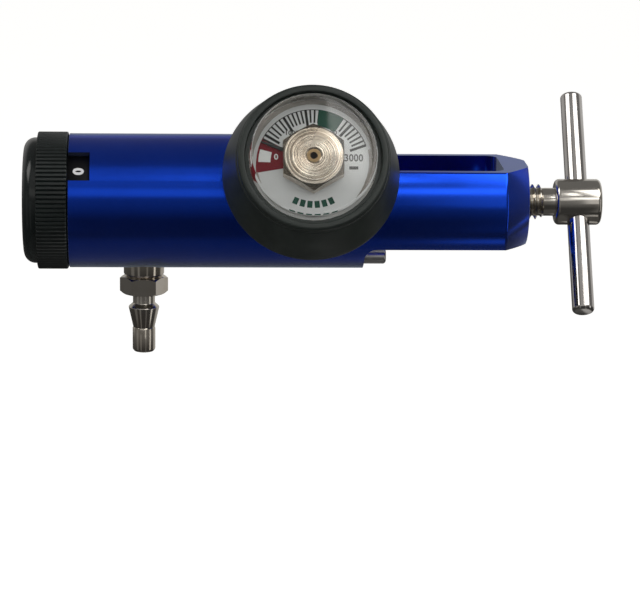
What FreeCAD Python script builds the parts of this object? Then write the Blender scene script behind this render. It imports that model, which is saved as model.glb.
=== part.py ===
import FreeCAD, Part
import Sketcher
import math
import operator
import os

# Oxygen regulator with a pin-indexed yoke, a tilted contents gauge and a rotary flow selector.
# Millimetres and degrees. The origin is the centre of the inlet face on the barrel's axis:
# +X runs through the yoke to the clamping screw, -Y is the gauge side and +Z is up.

SIZES = {
    # barrel and yoke, turned and milled from one bar
    "barrel_radius": 17.3,
    "pressure_length": 18.0,
    "stem_bore_length": 9.5,
    "piston_bore_length": 23.0,
    "chamber_length": 18.7,
    "recess_length": 6.5,
    "rim_wall": 1.9,
    "chamber_wall": 4.9,
    "piston_bore_wall": 5.5,
    "stem_bore_radius": 3.05,
    "passage_radius": 1.2,
    "yoke_chamfer_length": 6.4,
    "yoke_chamfer_depth": 6.1,
    "yoke_half_height": 10.1,
    "yoke_corner_radius": 3.0,
    "slot_width": 23.0,
    "slot_length": 35.7,
    "bridge_length": 6.7,
    "slot_corner_radius": 3.0,
    "window_length": 5.5,
    "window_width": 8.4,
    "window_angle": 41.4,
    "vent_radius": 0.8,
    # clearances between pieces
    "running_gap": 0.05,
    "seat_gap": 0.3,
    "thread_gap": 0.04,
    # inlet
    "inlet_thread_radius": 4.0,
    "inlet_thread_length": 9.0,
    "nipple_radius": 3.1,
    "nipple_length": 4.2,
    "filter_radius": 1.85,
    "filter_length": 9.0,
    "washer_thickness": 1.5,
    "washer_radius": 6.3,
    "washer_core_radius": 5.1,
    "pin_radius": 1.98,
    "pin_length": 6.0,
    "pin_seat_depth": 5.0,
    "pin_circle_radius": 14.29,
    "pin_angle": 18.0,
    # piston
    "piston_skirt": 8.4,
    "piston_cup_depth": 2.3,
    "piston_travel": 0.9,
    "stem_tip_radius": 2.5,
    "stem_tip_length": 3.5,
    "stem_passage_radius": 0.9,
    "seat_radius": 1.7,
    "seat_thickness": 1.5,
    "spring_wire": 1.8,
    "spring_inset": 3.2,
    "spring_turns": 4.5,
    # flow control
    "block_length": 7.7,
    "block_neck_step": 1.8,
    "block_neck_length": 4.0,
    "port_inset": 4.7,
    "port_radius": 0.9,
    "plate_thickness": 1.2,
    "plate_margin": 2.2,
    "smallest_orifice": 0.15,
    "orifice_step": 0.035,
    "detent_inset": 1.8,
    "detent_depth": 0.35,
    "ball_radius": 1.25,
    "detent_bore_depth": 5.2,
    "detent_wire": 0.4,
    "detent_turns": 5.0,
    "flange_radius": 4.6,
    "flange_thickness": 1.5,
    "thrust_washer_thickness": 0.4,
    "bonnet_length": 7.2,
    "shaft_radius": 3.5,
    "spigot_radius": 2.45,
    "square_across": 4.4,
    "square_corner_radius": 3.0,
    "knob_screw_radius": 1.2,
    "knob_screw_head": 3.6,
    # selector knob
    "knob_gap": 0.25,
    "knob_step": 0.4,
    "knob_width": 7.9,
    "knob_chamfer": 0.4,
    "rib_depth": 0.4,
    "rib_count": 96,
    "rib_opening": 0.7,
    "skirt_wall": 1.9,
    "dial_wall": 2.2,
    "hub_radius": 6.0,
    "knob_wall": 1.5,
    "cap_height": 3.83,
    "cap_edge_radius": 2.8,
    "cap_wall": 1.6,
    # outlet fitting
    "outlet_offset": 6.1,
    "outlet_thread_radius": 3.6,
    "outlet_counterbore_radius": 5.9,
    "outlet_seat_depth": 1.7,
    "collar_radius": 5.25,
    "collar_length": 3.5,
    "hex_bevel": 0.8,
    "hex_length": 4.4,
    "hex_across": 10.85,
    "barb_neck_radius": 2.88,
    "barb_neck_length": 2.7,
    "barb_flare_radius": 4.02,
    "barb_taper_length": 5.4,
    "barb_taper_radius": 2.8,
    "barb_tip_radius": 2.97,
    "barb_tip_length": 6.5,
    "barb_bore_radius": 1.6,
    # contents gauge, each length measured outward along its own axis
    "gauge_offset": 14.4,
    "gauge_elevation": 27.25,
    "gauge_spotface_depth": 1.0,
    "gauge_spotface_radius": 6.2,
    "gauge_thread_radius": 3.2,
    "gauge_thread_length": 7.5,
    "gauge_seal_thickness": 1.2,
    "gauge_collar_radius": 5.7,
    "gauge_collar_length": 5.8,
    "case_back_thickness": 1.2,
    "case_radius": 16.7,
    "case_wall": 0.75,
    "case_depth": 13.3,
    "case_ledge": 2.1,
    "dial_depth": 8.7,
    "dial_thickness": 0.4,
    "gauge_shaft_radius": 3.9,
    "gauge_spigot_radius": 1.72,
    "hub_standoff": 7.0,
    "hub_height": 3.0,
    "hub_across": 15.0,
    "hub_bevel": 0.25,
    "coil_radius": 6.4,
    "coil_half_width": 0.9,
    "coil_half_thickness": 0.28,
    "coil_pitch": 0.75,
    "coil_turns": 2.75,
    "pointer_angle": 159.7,
    "pointer_margin": 2.2,
    "pointer_width": 1.1,
    "pointer_tip_width": 0.5,
    "pointer_ring_radius": 5.6,
    "pointer_thickness": 0.4,
    "lens_wall": 1.4,
    "lens_shoulder_height": 5.6,
    "lens_height": 8.9,
    "boot_floor": 0.7,
    "boot_flare": 5.6,
    "boot_neck_radius": 7.4,
    "boot_rim_thickness": 1.9,
    "boot_wall": 2.5,
    "boot_lip_step": 0.3,
    "boot_lip_length": 1.7,
    "boot_lip_reach": 1.9,
    # clamping screw and bar
    "screw_radius": 4.6,
    "screw_tip_reach": 8.1,
    "screw_cone_length": 2.0,
    "screw_point_radius": 1.2,
    "screw_dog_radius": 3.2,
    "ring_reach": 5.5,
    "ring_width": 0.8,
    "ring_groove_radius": 2.6,
    "ring_outer_radius": 5.4,
    "thread_reach": 4.5,
    "neck_length": 3.1,
    "neck_radius": 3.65,
    "head_radius": 5.97,
    "head_length": 12.0,
    "head_edge": 1.2,
    "bar_radius": 2.86,
    "bar_length": 62.4,
    "bar_edge": 0.6,
    "bar_lean": 36.0,
}

OPERATIONS = {"+": operator.add, "-": operator.sub, "*": operator.mul, "/": operator.truediv}


class Size:
    # A size or a sum of sizes: its number now, and the expression that keeps it up to date.

    def __init__(self, number, text):
        self.number = number
        self.text = text

    def __add__(self, other):
        return joined(self, "+", other)

    def __sub__(self, other):
        return joined(self, "-", other)

    def __mul__(self, other):
        return joined(self, "*", other)

    def __truediv__(self, other):
        return joined(self, "/", other)

    def __neg__(self):
        return Size(-self.number, "(0 - %s)" % self.text)


def as_size(value):
    if isinstance(value, Size):
        return value
    return Size(float(value), "(%.9g)" % value)


def joined(left, sign, right):
    left = as_size(left)
    right = as_size(right)
    number = OPERATIONS[sign](left.number, right.number)
    return Size(number, "(%s %s %s)" % (left.text, sign, right.text))


class Sizes:
    # Reads each size by its name, as in sizes.barrel_radius.

    def __getattr__(self, name):
        return Size(float(getattr(sheet, name)), "Sizes." + name)


def fill_sheet():
    table = doc.addObject("Spreadsheet::Sheet", "Sizes")
    for row, (name, value) in enumerate(SIZES.items(), start=1):
        table.set("A%d" % row, name)
        table.set("B%d" % row, str(value))
        table.setAlias("B%d" % row, name)
    doc.recompute()
    return table


doc = FreeCAD.newDocument("oxygen_regulator")
sheet = fill_sheet()
sizes = Sizes()

ZERO = as_size(0)
X_AXIS = FreeCAD.Vector(1, 0, 0)
Y_AXIS = FreeCAD.Vector(0, 1, 0)
Z_AXIS = FreeCAD.Vector(0, 0, 1)


def frame(origin, along, across):
    # A placement whose own x runs along one direction and whose y runs across it.
    return FreeCAD.Placement(origin, FreeCAD.Rotation(along, across, along.cross(across), "XYZ"))


def new_piece(name, placement=None):
    body = doc.addObject("PartDesign::Body", name)
    body.Label = name
    if placement:
        body.Placement = placement
    return body


def origin_feature(body, role):
    return [part for part in body.Origin.OriginFeatures if part.Role == role][0]


def new_sketch(body, label, placement):
    sketch = body.newObject("Sketcher::SketchObject", label)
    sketch.AttachmentSupport = [(origin_feature(body, "XY_Plane"), "")]
    sketch.MapMode = "FlatFace"
    if placement:
        sketch.AttachmentOffset = placement
    return sketch


def pin_point(sketch, line, point, place):
    # Holds one point of a line or circle at a place measured from the sketch's origin.
    for kind, axis, size in (("DistanceX", -2, place[0]), ("DistanceY", -1, place[1])):
        if size.number == 0:
            sketch.addConstraint(Sketcher.Constraint("PointOnObject", line, point, axis))
            continue
        index = sketch.addConstraint(Sketcher.Constraint(kind, -1, 1, line, point, size.number))
        sketch.setExpression("Constraints[%d]" % index, size.text)


def outline_sketch(body, label, points, placement=None):
    sketch = new_sketch(body, label, placement)
    places = [(as_size(x), as_size(y)) for x, y in points]
    corners = [FreeCAD.Vector(x.number, y.number, 0) for x, y in places]
    count = len(corners)
    for line in range(count):
        sketch.addGeometry(Part.LineSegment(corners[line], corners[(line + 1) % count]), False)
    for line in range(count):
        sketch.addConstraint(Sketcher.Constraint("Coincident", line, 2, (line + 1) % count, 1))
        pin_point(sketch, line, 1, places[line])
    return sketch


def circle_sketch(body, label, circles, placement=None):
    sketch = new_sketch(body, label, placement)
    for index, (x, y, radius) in enumerate(circles):
        x, y, radius = as_size(x), as_size(y), as_size(radius)
        centre = FreeCAD.Vector(x.number, y.number, 0)
        sketch.addGeometry(Part.Circle(centre, Z_AXIS, radius.number), False)
        pin_point(sketch, index, 3, (x, y))
        rule = sketch.addConstraint(Sketcher.Constraint("Radius", index, radius.number))
        sketch.setExpression("Constraints[%d]" % rule, radius.text)
    return sketch


def spun(body, label, sketch, kind):
    feature = body.newObject("PartDesign::" + kind, label)
    feature.Profile = sketch
    feature.ReferenceAxis = (sketch, ["H_Axis"])
    feature.Angle = 360
    return feature


def turned(body, label, outline, placement=None):
    # Material turned about the x axis from (x, radius) points.
    sketch = outline_sketch(body, label + "_outline", outline, placement)
    return spun(body, label, sketch, "Revolution")


def bored(body, label, outline, placement=None):
    # A stepped hole turned about the x axis of its own frame.
    sketch = outline_sketch(body, label + "_outline", outline, placement)
    return spun(body, label, sketch, "Groove")


def cut_through(body, label, sketch):
    cut = body.newObject("PartDesign::Pocket", label)
    cut.Profile = sketch
    cut.Type = "ThroughAll"
    cut.SideType = "Symmetric"
    return cut


def cut_to_depth(body, label, sketch, depth, outward=False):
    cut = body.newObject("PartDesign::Pocket", label)
    cut.Profile = sketch
    cut.Reversed = outward
    cut.Length = as_size(depth).number
    cut.setExpression("Length", as_size(depth).text)
    return cut


def repeated(body, label, feature, count):
    pattern = body.newObject("PartDesign::PolarPattern", label)
    pattern.Originals = [feature]
    pattern.Axis = (origin_feature(body, "X_Axis"), [""])
    pattern.Angle = 360
    pattern.Occurrences = int(count)
    body.Tip = pattern
    return pattern


def flats(body, label, across, start, end, reach, count, turn=0.0):
    # Flats milled round the x axis: two on the yoke, four on a square and six on a hexagon.
    points = [(start, across / 2), (end, across / 2), (end, reach), (start, reach)]
    upright = FreeCAD.Placement(FreeCAD.Vector(), FreeCAD.Rotation(X_AXIS, 90 + turn))
    sketch = outline_sketch(body, label + "_outline", points, upright)
    # the outline stands off the axis, so one cut makes one flat
    cut = cut_through(body, label, sketch)
    return repeated(body, label + "_round", cut, count)


def circle_edges(feature, places):
    # The round edges that lie at the given (x, radius) places.
    names = []
    for index, edge in enumerate(feature.Shape.Edges, start=1):
        if not isinstance(edge.Curve, Part.Circle):
            continue
        for x, radius in places:
            at_place = abs(edge.Curve.Center.x - as_size(x).number) < 0.01
            if at_place and abs(edge.Curve.Radius - as_size(radius).number) < 0.01:
                names.append("Edge%d" % index)
    return names


def straight_edges(feature, direction, x, other, other_axis):
    # The straight edges of one direction that lie at x and at plus or minus another coordinate.
    names = []
    for index, edge in enumerate(feature.Shape.Edges, start=1):
        if not isinstance(edge.Curve, (Part.Line, Part.LineSegment)):
            continue
        middle = edge.CenterOfMass
        if abs(middle.x - x.number) > 0.01 or abs(abs(middle[other_axis]) - other.number) > 0.01:
            continue
        if abs(edge.Curve.Direction.dot(direction)) > 0.99:
            names.append("Edge%d" % index)
    return names


def rounded(body, label, feature, edges, radius):
    fillet = body.newObject("PartDesign::Fillet", label)
    fillet.Base = (feature, edges)
    fillet.Radius = radius.number
    fillet.setExpression("Radius", radius.text)
    return fillet


def round_bar(name, start, end, radius, edge, placement=None):
    # A solid bar with both ends chamfered.
    body = new_piece(name, placement)
    turned(body, name + "_bar", [
        (start, 0), (start, radius - edge), (start + edge, radius),
        (end - edge, radius), (end, radius - edge), (end, 0)])
    return body


def sleeve(name, start, end, inner, outer, placement=None):
    body = new_piece(name, placement)
    turned(body, name + "_wall", [(start, inner), (start, outer), (end, outer), (end, inner)])
    return body


def seal_ring(name, centre, radius, section, placement=None):
    # A round-section ring about the x axis.
    body = new_piece(name, placement)
    sketch = circle_sketch(body, name + "_section", [(centre, radius, section)])
    spun(body, name + "_ring", sketch, "Revolution")
    return body


def coil(name, start, radius, pitch, turns, section, placement=None):
    # A coil about the x axis, wound from a section that its own sketch gives.
    body = new_piece(name, placement)
    profile = section(body, start, radius)
    doc.recompute()
    winding = body.newObject("PartDesign::AdditiveHelix", name + "_winding")
    winding.Profile = profile
    winding.ReferenceAxis = (profile, ["H_Axis"])
    winding.Mode = "pitch-turns-angle"
    winding.Pitch = pitch.number
    winding.setExpression("Pitch", pitch.text)
    winding.Turns = turns.number
    winding.setExpression("Turns", turns.text)
    return body


# radii that follow the barrel's
recess_radius = sizes.barrel_radius - sizes.rim_wall
chamber_radius = sizes.barrel_radius - sizes.chamber_wall
piston_bore_radius = sizes.barrel_radius - sizes.piston_bore_wall
spring_radius = piston_bore_radius - sizes.spring_inset
plate_radius = chamber_radius - sizes.plate_margin
detent_circle = plate_radius - sizes.detent_inset
port_circle = plate_radius - sizes.port_inset
dial_radius = recess_radius - sizes.seat_gap
skirt_radius = dial_radius - sizes.dial_wall
knob_radius = sizes.barrel_radius + sizes.knob_step
cap_radius = knob_radius - sizes.knob_wall

# stations along the barrel, from the inlet face to the left
nozzle_x = -sizes.pressure_length
stem_mouth_x = nozzle_x - sizes.stem_bore_length
chamber_step_x = stem_mouth_x - sizes.piston_bore_length
recess_step_x = chamber_step_x - sizes.chamber_length
barrel_left_x = recess_step_x - sizes.recess_length
outlet_x = chamber_step_x - sizes.outlet_offset

# stations of the yoke and its screw, from the inlet face to the right
yoke_end_x = sizes.slot_length + sizes.bridge_length
screw_tip_x = sizes.slot_length - sizes.screw_tip_reach
ring_start_x = sizes.slot_length - sizes.ring_reach
thread_end_x = yoke_end_x + sizes.thread_reach
head_start_x = thread_end_x + sizes.neck_length
head_end_x = head_start_x + sizes.head_length

# stations of the flow control, from the chamber's step to the left
block_left_x = chamber_step_x - sizes.block_length
plate_right_x = block_left_x - sizes.seat_gap
plate_left_x = plate_right_x - sizes.plate_thickness
flange_left_x = plate_left_x - sizes.flange_thickness
thrust_left_x = flange_left_x - sizes.running_gap - sizes.thrust_washer_thickness
bonnet_left_x = thrust_left_x - sizes.bonnet_length

# stations of the knob
knob_right_x = barrel_left_x - sizes.knob_gap
knob_left_x = knob_right_x - sizes.knob_width
web_left_x = knob_left_x + 3.3
web_right_x = web_left_x + 3.2

# stations of the outlet, down from the barrel's axis
outlet_seat_d = sizes.barrel_radius - sizes.outlet_seat_depth
collar_end_d = outlet_seat_d + sizes.collar_length
hex_start_d = collar_end_d + sizes.hex_bevel

# stations of the gauge, outward along its own axis
spotface_d = sizes.barrel_radius - sizes.gauge_spotface_depth
seal_front_d = spotface_d + sizes.gauge_seal_thickness
case_back_d = seal_front_d + sizes.gauge_collar_length
case_rim_d = case_back_d + sizes.case_depth
dial_face_d = case_back_d + sizes.dial_depth
dial_back_d = dial_face_d - sizes.dial_thickness
pointer_back_d = dial_face_d + 0.4
pointer_front_d = pointer_back_d + sizes.pointer_thickness
shaft_front_d = pointer_front_d + 0.15
hub_front_d = dial_face_d + sizes.hub_standoff
hub_back_d = hub_front_d - sizes.hub_height
boot_front_d = case_rim_d + sizes.boot_lip_reach
lens_radius = sizes.case_radius - sizes.case_wall - sizes.running_gap


def gauge_frame(turn=0.0):
    # Own x runs out along the gauge's axis, y to the right of the dial and z up the dial.
    tilt = math.radians(sheet.gauge_elevation)
    outward = FreeCAD.Vector(0, -math.cos(tilt), math.sin(tilt))
    placed = frame(FreeCAD.Vector(-sheet.gauge_offset, 0, 0), outward, X_AXIS)
    return placed.multiply(FreeCAD.Placement(FreeCAD.Vector(), FreeCAD.Rotation(X_AXIS, turn)))


def outlet_frame():
    return frame(FreeCAD.Vector(outlet_x.number, 0, 0), -Z_AXIS, Y_AXIS)


def pin_frame(side):
    angle = math.radians(sheet.pin_angle)
    reach = sheet.pin_circle_radius
    seat = FreeCAD.Vector(0, side * reach * math.sin(angle), -reach * math.cos(angle))
    return frame(seat, X_AXIS, Y_AXIS)


def facing_x(x, turn=0.0):
    # A sketch across the axis at x: its own x is Y, its y is Z and it looks along +X.
    across = FreeCAD.Rotation(Y_AXIS, Z_AXIS, X_AXIS, "XYZ")
    turned_by = FreeCAD.Rotation(X_AXIS, turn)
    return FreeCAD.Placement(FreeCAD.Vector(as_size(x).number, 0, 0), turned_by.multiply(across))


def regulator_body():
    body = new_piece("regulator_body")
    bar_end = sizes.barrel_radius - sizes.yoke_chamfer_depth
    screw_bore = sizes.screw_radius + sizes.running_gap
    bar = turned(body, "bar", [
        (barrel_left_x, recess_radius),
        (barrel_left_x, sizes.barrel_radius),
        (yoke_end_x - sizes.yoke_chamfer_length, sizes.barrel_radius),
        (yoke_end_x, bar_end),
        (yoke_end_x, screw_bore),
        (ZERO, screw_bore),
        (ZERO, sizes.inlet_thread_radius + sizes.thread_gap),
        (-sizes.inlet_thread_length, sizes.inlet_thread_radius + sizes.thread_gap),
        (-sizes.inlet_thread_length, sizes.passage_radius),
        (nozzle_x, sizes.passage_radius),
        (nozzle_x, sizes.stem_bore_radius),
        (stem_mouth_x, sizes.stem_bore_radius),
        (stem_mouth_x, piston_bore_radius),
        (chamber_step_x, piston_bore_radius),
        (chamber_step_x, chamber_radius),
        (recess_step_x, chamber_radius),
        (recess_step_x, recess_radius)])
    reach = sizes.barrel_radius + 1
    past_end = yoke_end_x + 1
    milled = flats(body, "yoke_flat", sizes.yoke_half_height * 2, ZERO, past_end, reach, 2)
    doc.recompute()
    corners = straight_edges(milled, Y_AXIS, ZERO, sizes.yoke_half_height, 2)
    rounded(body, "yoke_corners", milled, corners, sizes.yoke_corner_radius)
    half_slot = sizes.slot_width / 2
    slot_outline = outline_sketch(body, "slot_outline", [
        (ZERO, -half_slot), (sizes.slot_length, -half_slot),
        (sizes.slot_length, half_slot), (ZERO, half_slot)])
    slot = cut_through(body, "slot", slot_outline)
    doc.recompute()
    corners = straight_edges(slot, Z_AXIS, sizes.slot_length, half_slot, 1)
    rounded(body, "slot_corners", slot, corners, sizes.slot_corner_radius)
    cut_window(body)
    cut_ports(body)
    return body


def cut_window(body):
    # The notch in the barrel's rim through which one number of the dial shows.
    half = sizes.window_width / 2
    facing = FreeCAD.Rotation(X_AXIS, 90 - sheet.window_angle)
    outline = outline_sketch(body, "window_outline", [
        (barrel_left_x - 1, -half), (barrel_left_x + sizes.window_length, -half),
        (barrel_left_x + sizes.window_length, half), (barrel_left_x - 1, half)],
        FreeCAD.Placement(FreeCAD.Vector(), facing))
    cut_to_depth(body, "window", outline, sizes.barrel_radius + 1, outward=True)


def cut_ports(body):
    outside = sizes.barrel_radius + 1
    outlet_thread = sizes.outlet_thread_radius + sizes.thread_gap
    bored(body, "outlet_port", [
        (chamber_radius - 1, 0), (chamber_radius - 1, outlet_thread),
        (outlet_seat_d, outlet_thread), (outlet_seat_d, sizes.outlet_counterbore_radius),
        (outside, sizes.outlet_counterbore_radius), (outside, 0)], outlet_frame())
    thread_floor = spotface_d - sizes.gauge_thread_length
    gauge_thread = sizes.gauge_thread_radius + sizes.thread_gap
    bored(body, "gauge_port", [
        (ZERO, 0), (ZERO, sizes.passage_radius), (thread_floor, sizes.passage_radius),
        (thread_floor, gauge_thread), (spotface_d, gauge_thread),
        (spotface_d, sizes.gauge_spotface_radius),
        (outside, sizes.gauge_spotface_radius), (outside, 0)], gauge_frame())
    for label, side in (("front", -1), ("back", 1)):
        seat = sizes.pin_radius + sizes.thread_gap / 2
        bored(body, "pin_seat_" + label, [
            (-sizes.pin_seat_depth, 0), (-sizes.pin_seat_depth, seat), (as_size(1), seat),
            (as_size(1), 0)], pin_frame(side))
    spring_middle = stem_mouth_x - sizes.piston_bore_length / 3
    vent = frame(FreeCAD.Vector(spring_middle.number, 0, 0), Y_AXIS, -X_AXIS)
    inside = piston_bore_radius - 1
    bored(body, "vent", [
        (inside, 0), (inside, sizes.vent_radius), (outside, sizes.vent_radius), (outside, 0)], vent)


def inlet_nipple():
    # Screwed into the inlet face, with the filter in its mouth.
    body = new_piece("inlet_nipple")
    pocket = sizes.filter_radius + sizes.thread_gap
    filter_back = sizes.nipple_length - 0.4 - sizes.filter_length
    turned(body, "nipple", [
        (-sizes.inlet_thread_length, sizes.passage_radius),
        (-sizes.inlet_thread_length, sizes.inlet_thread_radius),
        (ZERO, sizes.inlet_thread_radius),
        (ZERO, sizes.nipple_radius),
        (sizes.nipple_length - 0.5, sizes.nipple_radius),
        (sizes.nipple_length, sizes.nipple_radius - 0.5),
        (sizes.nipple_length, pocket),
        (filter_back, pocket),
        (filter_back, sizes.passage_radius)])
    return body


def inlet_filter():
    body = new_piece("inlet_filter")
    front = sizes.nipple_length - 0.4
    back = front - sizes.filter_length
    turned(body, "sintered_plug", [
        (back, 0), (back, sizes.filter_radius), (front - 0.6, sizes.filter_radius),
        (front, sizes.filter_radius - 0.6), (front, 0)])
    return body


def index_pins():
    for label, side in (("front", -1), ("back", 1)):
        name = "index_pin_" + label
        round_bar(name, -sizes.pin_seat_depth, sizes.pin_length, sizes.pin_radius,
                  as_size(0.5), pin_frame(side))


def sealing_washer():
    core_inner = sizes.nipple_radius + sizes.running_gap
    sleeve("washer_core", ZERO, sizes.washer_thickness, core_inner, sizes.washer_core_radius)
    sleeve("washer_ring", ZERO, sizes.washer_thickness, sizes.washer_core_radius,
           sizes.washer_radius)


def piston_stations():
    tip = nozzle_x - sizes.piston_travel
    head_left = chamber_step_x + sizes.seat_gap
    head_right = head_left + sizes.piston_skirt
    return tip, head_left, head_right


def piston():
    tip, head_left, head_right = piston_stations()
    land = sizes.stem_bore_radius - sizes.running_gap - 0.03
    head = piston_bore_radius - sizes.running_gap - 0.03
    cup_radius = head - 2.4
    cup_floor = head_left + sizes.piston_cup_depth
    stem_groove = stem_mouth_x + 2
    head_groove = head_left + 4.5
    body = new_piece("piston")
    turned(body, "piston_turning", [
        (tip, sizes.seat_radius),
        (tip, sizes.stem_tip_radius),
        (tip - sizes.stem_tip_length, sizes.stem_tip_radius),
        (tip - sizes.stem_tip_length, land),
        (stem_groove + 1.6, land),
        (stem_groove + 1.6, land - 0.95),
        (stem_groove, land - 0.95),
        (stem_groove, land),
        (head_right, land),
        (head_right, head),
        (head_groove + 1.8, head),
        (head_groove + 1.8, head - 1.4),
        (head_groove, head - 1.4),
        (head_groove, head),
        (head_left, head),
        (head_left, cup_radius),
        (cup_floor, cup_radius),
        (cup_floor, sizes.stem_passage_radius),
        (tip - sizes.seat_thickness - 0.8, sizes.stem_passage_radius),
        (tip - sizes.seat_thickness - 0.8, 0),
        (tip - sizes.seat_thickness, 0),
        (tip - sizes.seat_thickness, sizes.seat_radius)])
    # the cross hole behind the seat that lets the gas into the hollow stem
    cross = tip - sizes.seat_thickness - 1.5
    half = sizes.stem_tip_radius + 1
    placed = frame(FreeCAD.Vector(cross.number, 0, 0), Z_AXIS, Y_AXIS)
    bored(body, "cross_hole", [(-half, 0), (-half, 0.5), (half, 0.5), (half, 0)], placed)
    seat = new_piece("valve_seat")
    turned(seat, "seat_disc", [
        (tip - sizes.seat_thickness, 0), (tip - sizes.seat_thickness, sizes.seat_radius),
        (tip, sizes.seat_radius), (tip, 0)])
    seal_ring("stem_seal", stem_groove + 0.8, land - 0.45, as_size(0.46))
    seal_ring("piston_seal", head_groove + 0.9, head - 0.68, as_size(0.7))


def main_spring():
    tip, head_left, head_right = piston_stations()
    wire = sizes.spring_wire / 2
    start = head_right + wire + 0.02
    room = stem_mouth_x - head_right - sizes.spring_wire - 0.04
    pitch = room / sizes.spring_turns

    def wire_section(body, x, radius):
        return circle_sketch(body, "main_spring_wire", [(x, radius, wire)])

    coil("main_spring", start, spring_radius, pitch, sizes.spring_turns, wire_section)


def flow_block():
    # Carries the port that the orifice plate turns past, and the detent.
    body = new_piece("flow_block")
    outer = chamber_radius - sizes.running_gap
    neck_radius = chamber_radius - sizes.block_neck_step
    neck_end = block_left_x + sizes.block_neck_length
    groove = neck_end + 1
    block = turned(body, "block_turning", [
        (block_left_x, 0), (block_left_x, neck_radius),
        (neck_end, neck_radius), (neck_end, outer),
        (groove, outer), (groove, outer - 1.1), (groove + 1.5, outer - 1.1),
        (groove + 1.5, outer), (chamber_step_x, outer), (chamber_step_x, 0)])
    port = circle_sketch(body, "port_circle", [(0, port_circle, sizes.port_radius)],
                         facing_x(block_left_x))
    cut_through(body, "port", port)
    seat = circle_sketch(body, "port_seat_circle", [(0, port_circle, 2.0)],
                         facing_x(block_left_x))
    cut_to_depth(body, "port_seat", seat, as_size(1.0), outward=True)
    bore_radius = sizes.ball_radius + sizes.running_gap
    bore = circle_sketch(body, "detent_circle", [(0, -detent_circle, bore_radius)],
                         facing_x(block_left_x))
    cut_to_depth(body, "detent_bore", bore, sizes.detent_bore_depth, outward=True)
    seal_ring("block_seal", groove + 0.75, outer - 0.54, as_size(0.54))
    port_place = FreeCAD.Placement(
        FreeCAD.Vector(0, 0, port_circle.number), FreeCAD.Rotation())
    seal_ring("port_seal", block_left_x + 0.35, as_size(1.4), as_size(0.58), port_place)
    return block


def detent():
    # The ball stands just clear of the plate's face, as it does between two clicks.
    place = FreeCAD.Placement(
        FreeCAD.Vector(0, 0, -detent_circle.number), FreeCAD.Rotation())
    ball_x = plate_right_x + sizes.running_gap + sizes.ball_radius
    body = new_piece("detent_ball", place)
    ball_circle = 16
    points = []
    for step in range(ball_circle + 1):
        angle = math.pi * step / ball_circle
        points.append((ball_x - sizes.ball_radius * math.cos(angle),
                       sizes.ball_radius * round(math.sin(angle), 9)))
    turned(body, "ball", points)
    wire = sizes.detent_wire / 2
    start = ball_x + sizes.ball_radius + wire
    floor = block_left_x + sizes.detent_bore_depth
    pitch = (floor - start - wire) / sizes.detent_turns

    def wire_section(owner, x, radius):
        return circle_sketch(owner, "detent_wire_section", [(x, radius, wire)])

    coil("detent_spring", start, sizes.ball_radius - sizes.detent_wire, pitch,
         sizes.detent_turns, wire_section, place)


def orifice_plate():
    # Twelve stations 30 degrees apart: the first is blank and the others open step by step.
    body = new_piece("orifice_plate")
    hole = sizes.spigot_radius + 0.02
    turned(body, "plate", [
        (plate_left_x, hole), (plate_left_x, plate_radius),
        (plate_right_x, plate_radius), (plate_right_x, hole)])
    orifices = []
    for station in range(1, 12):
        angle = math.radians(90 - 30 * station)
        radius = sizes.smallest_orifice + sizes.orifice_step * (station - 1)
        orifices.append((port_circle * round(math.cos(angle), 9),
                         port_circle * round(math.sin(angle), 9), radius))
    cut_through(body, "orifices",
                circle_sketch(body, "orifice_circles", orifices, facing_x(plate_left_x)))
    dimple = circle_sketch(body, "dimple_circle", [(0, -detent_circle, 0.8)],
                           facing_x(plate_right_x))
    first = cut_to_depth(body, "dimple", dimple, sizes.detent_depth)
    repeated(body, "dimples", first, 12)
    return body


def selector_shaft():
    body = new_piece("selector_shaft")
    square_end = knob_right_x + 4
    square_start = web_left_x + sizes.seat_gap
    groove = bonnet_left_x + 2.6
    bore = sizes.knob_screw_radius + sizes.thread_gap
    turned(body, "shaft_turning", [
        (square_start, bore), (square_start, sizes.square_corner_radius),
        (square_end, sizes.square_corner_radius), (square_end, sizes.shaft_radius),
        (groove, sizes.shaft_radius), (groove, sizes.shaft_radius - 1),
        (groove + 1.5, sizes.shaft_radius - 1), (groove + 1.5, sizes.shaft_radius),
        (flange_left_x, sizes.shaft_radius), (flange_left_x, sizes.flange_radius),
        (plate_left_x, sizes.flange_radius), (plate_left_x, sizes.spigot_radius),
        (plate_right_x, sizes.spigot_radius), (plate_right_x, 0),
        (web_right_x + 1, 0), (web_right_x + 1, bore)])
    flats(body, "square", sizes.square_across, square_start - 1, square_end,
          sizes.square_corner_radius + 1, 4)
    seal_ring("shaft_seal", groove + 0.75, sizes.shaft_radius - 0.48, as_size(0.49))
    return body


def flow_bonnet():
    # Closes the chamber and carries the shaft.
    body = new_piece("flow_bonnet")
    outer = chamber_radius - sizes.thread_gap
    inner = sizes.shaft_radius + sizes.running_gap
    groove = thrust_left_x - 3.4
    turned(body, "bonnet_turning", [
        (bonnet_left_x, inner), (bonnet_left_x, outer), (groove, outer),
        (groove, outer - 1.1), (groove + 1.5, outer - 1.1), (groove + 1.5, outer),
        (thrust_left_x, outer), (thrust_left_x, inner)])
    spanner = circle_sketch(body, "spanner_circle", [(0, as_size(8.2), as_size(1.0))],
                            facing_x(bonnet_left_x))
    hole = cut_to_depth(body, "spanner_hole", spanner, as_size(2.0), outward=True)
    repeated(body, "spanner_holes", hole, 2)
    seal_ring("bonnet_seal", groove + 0.75, outer - 0.54, as_size(0.54))
    sleeve("thrust_washer", thrust_left_x, thrust_left_x + sizes.thrust_washer_thickness,
           inner, sizes.flange_radius)
    return body


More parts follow.
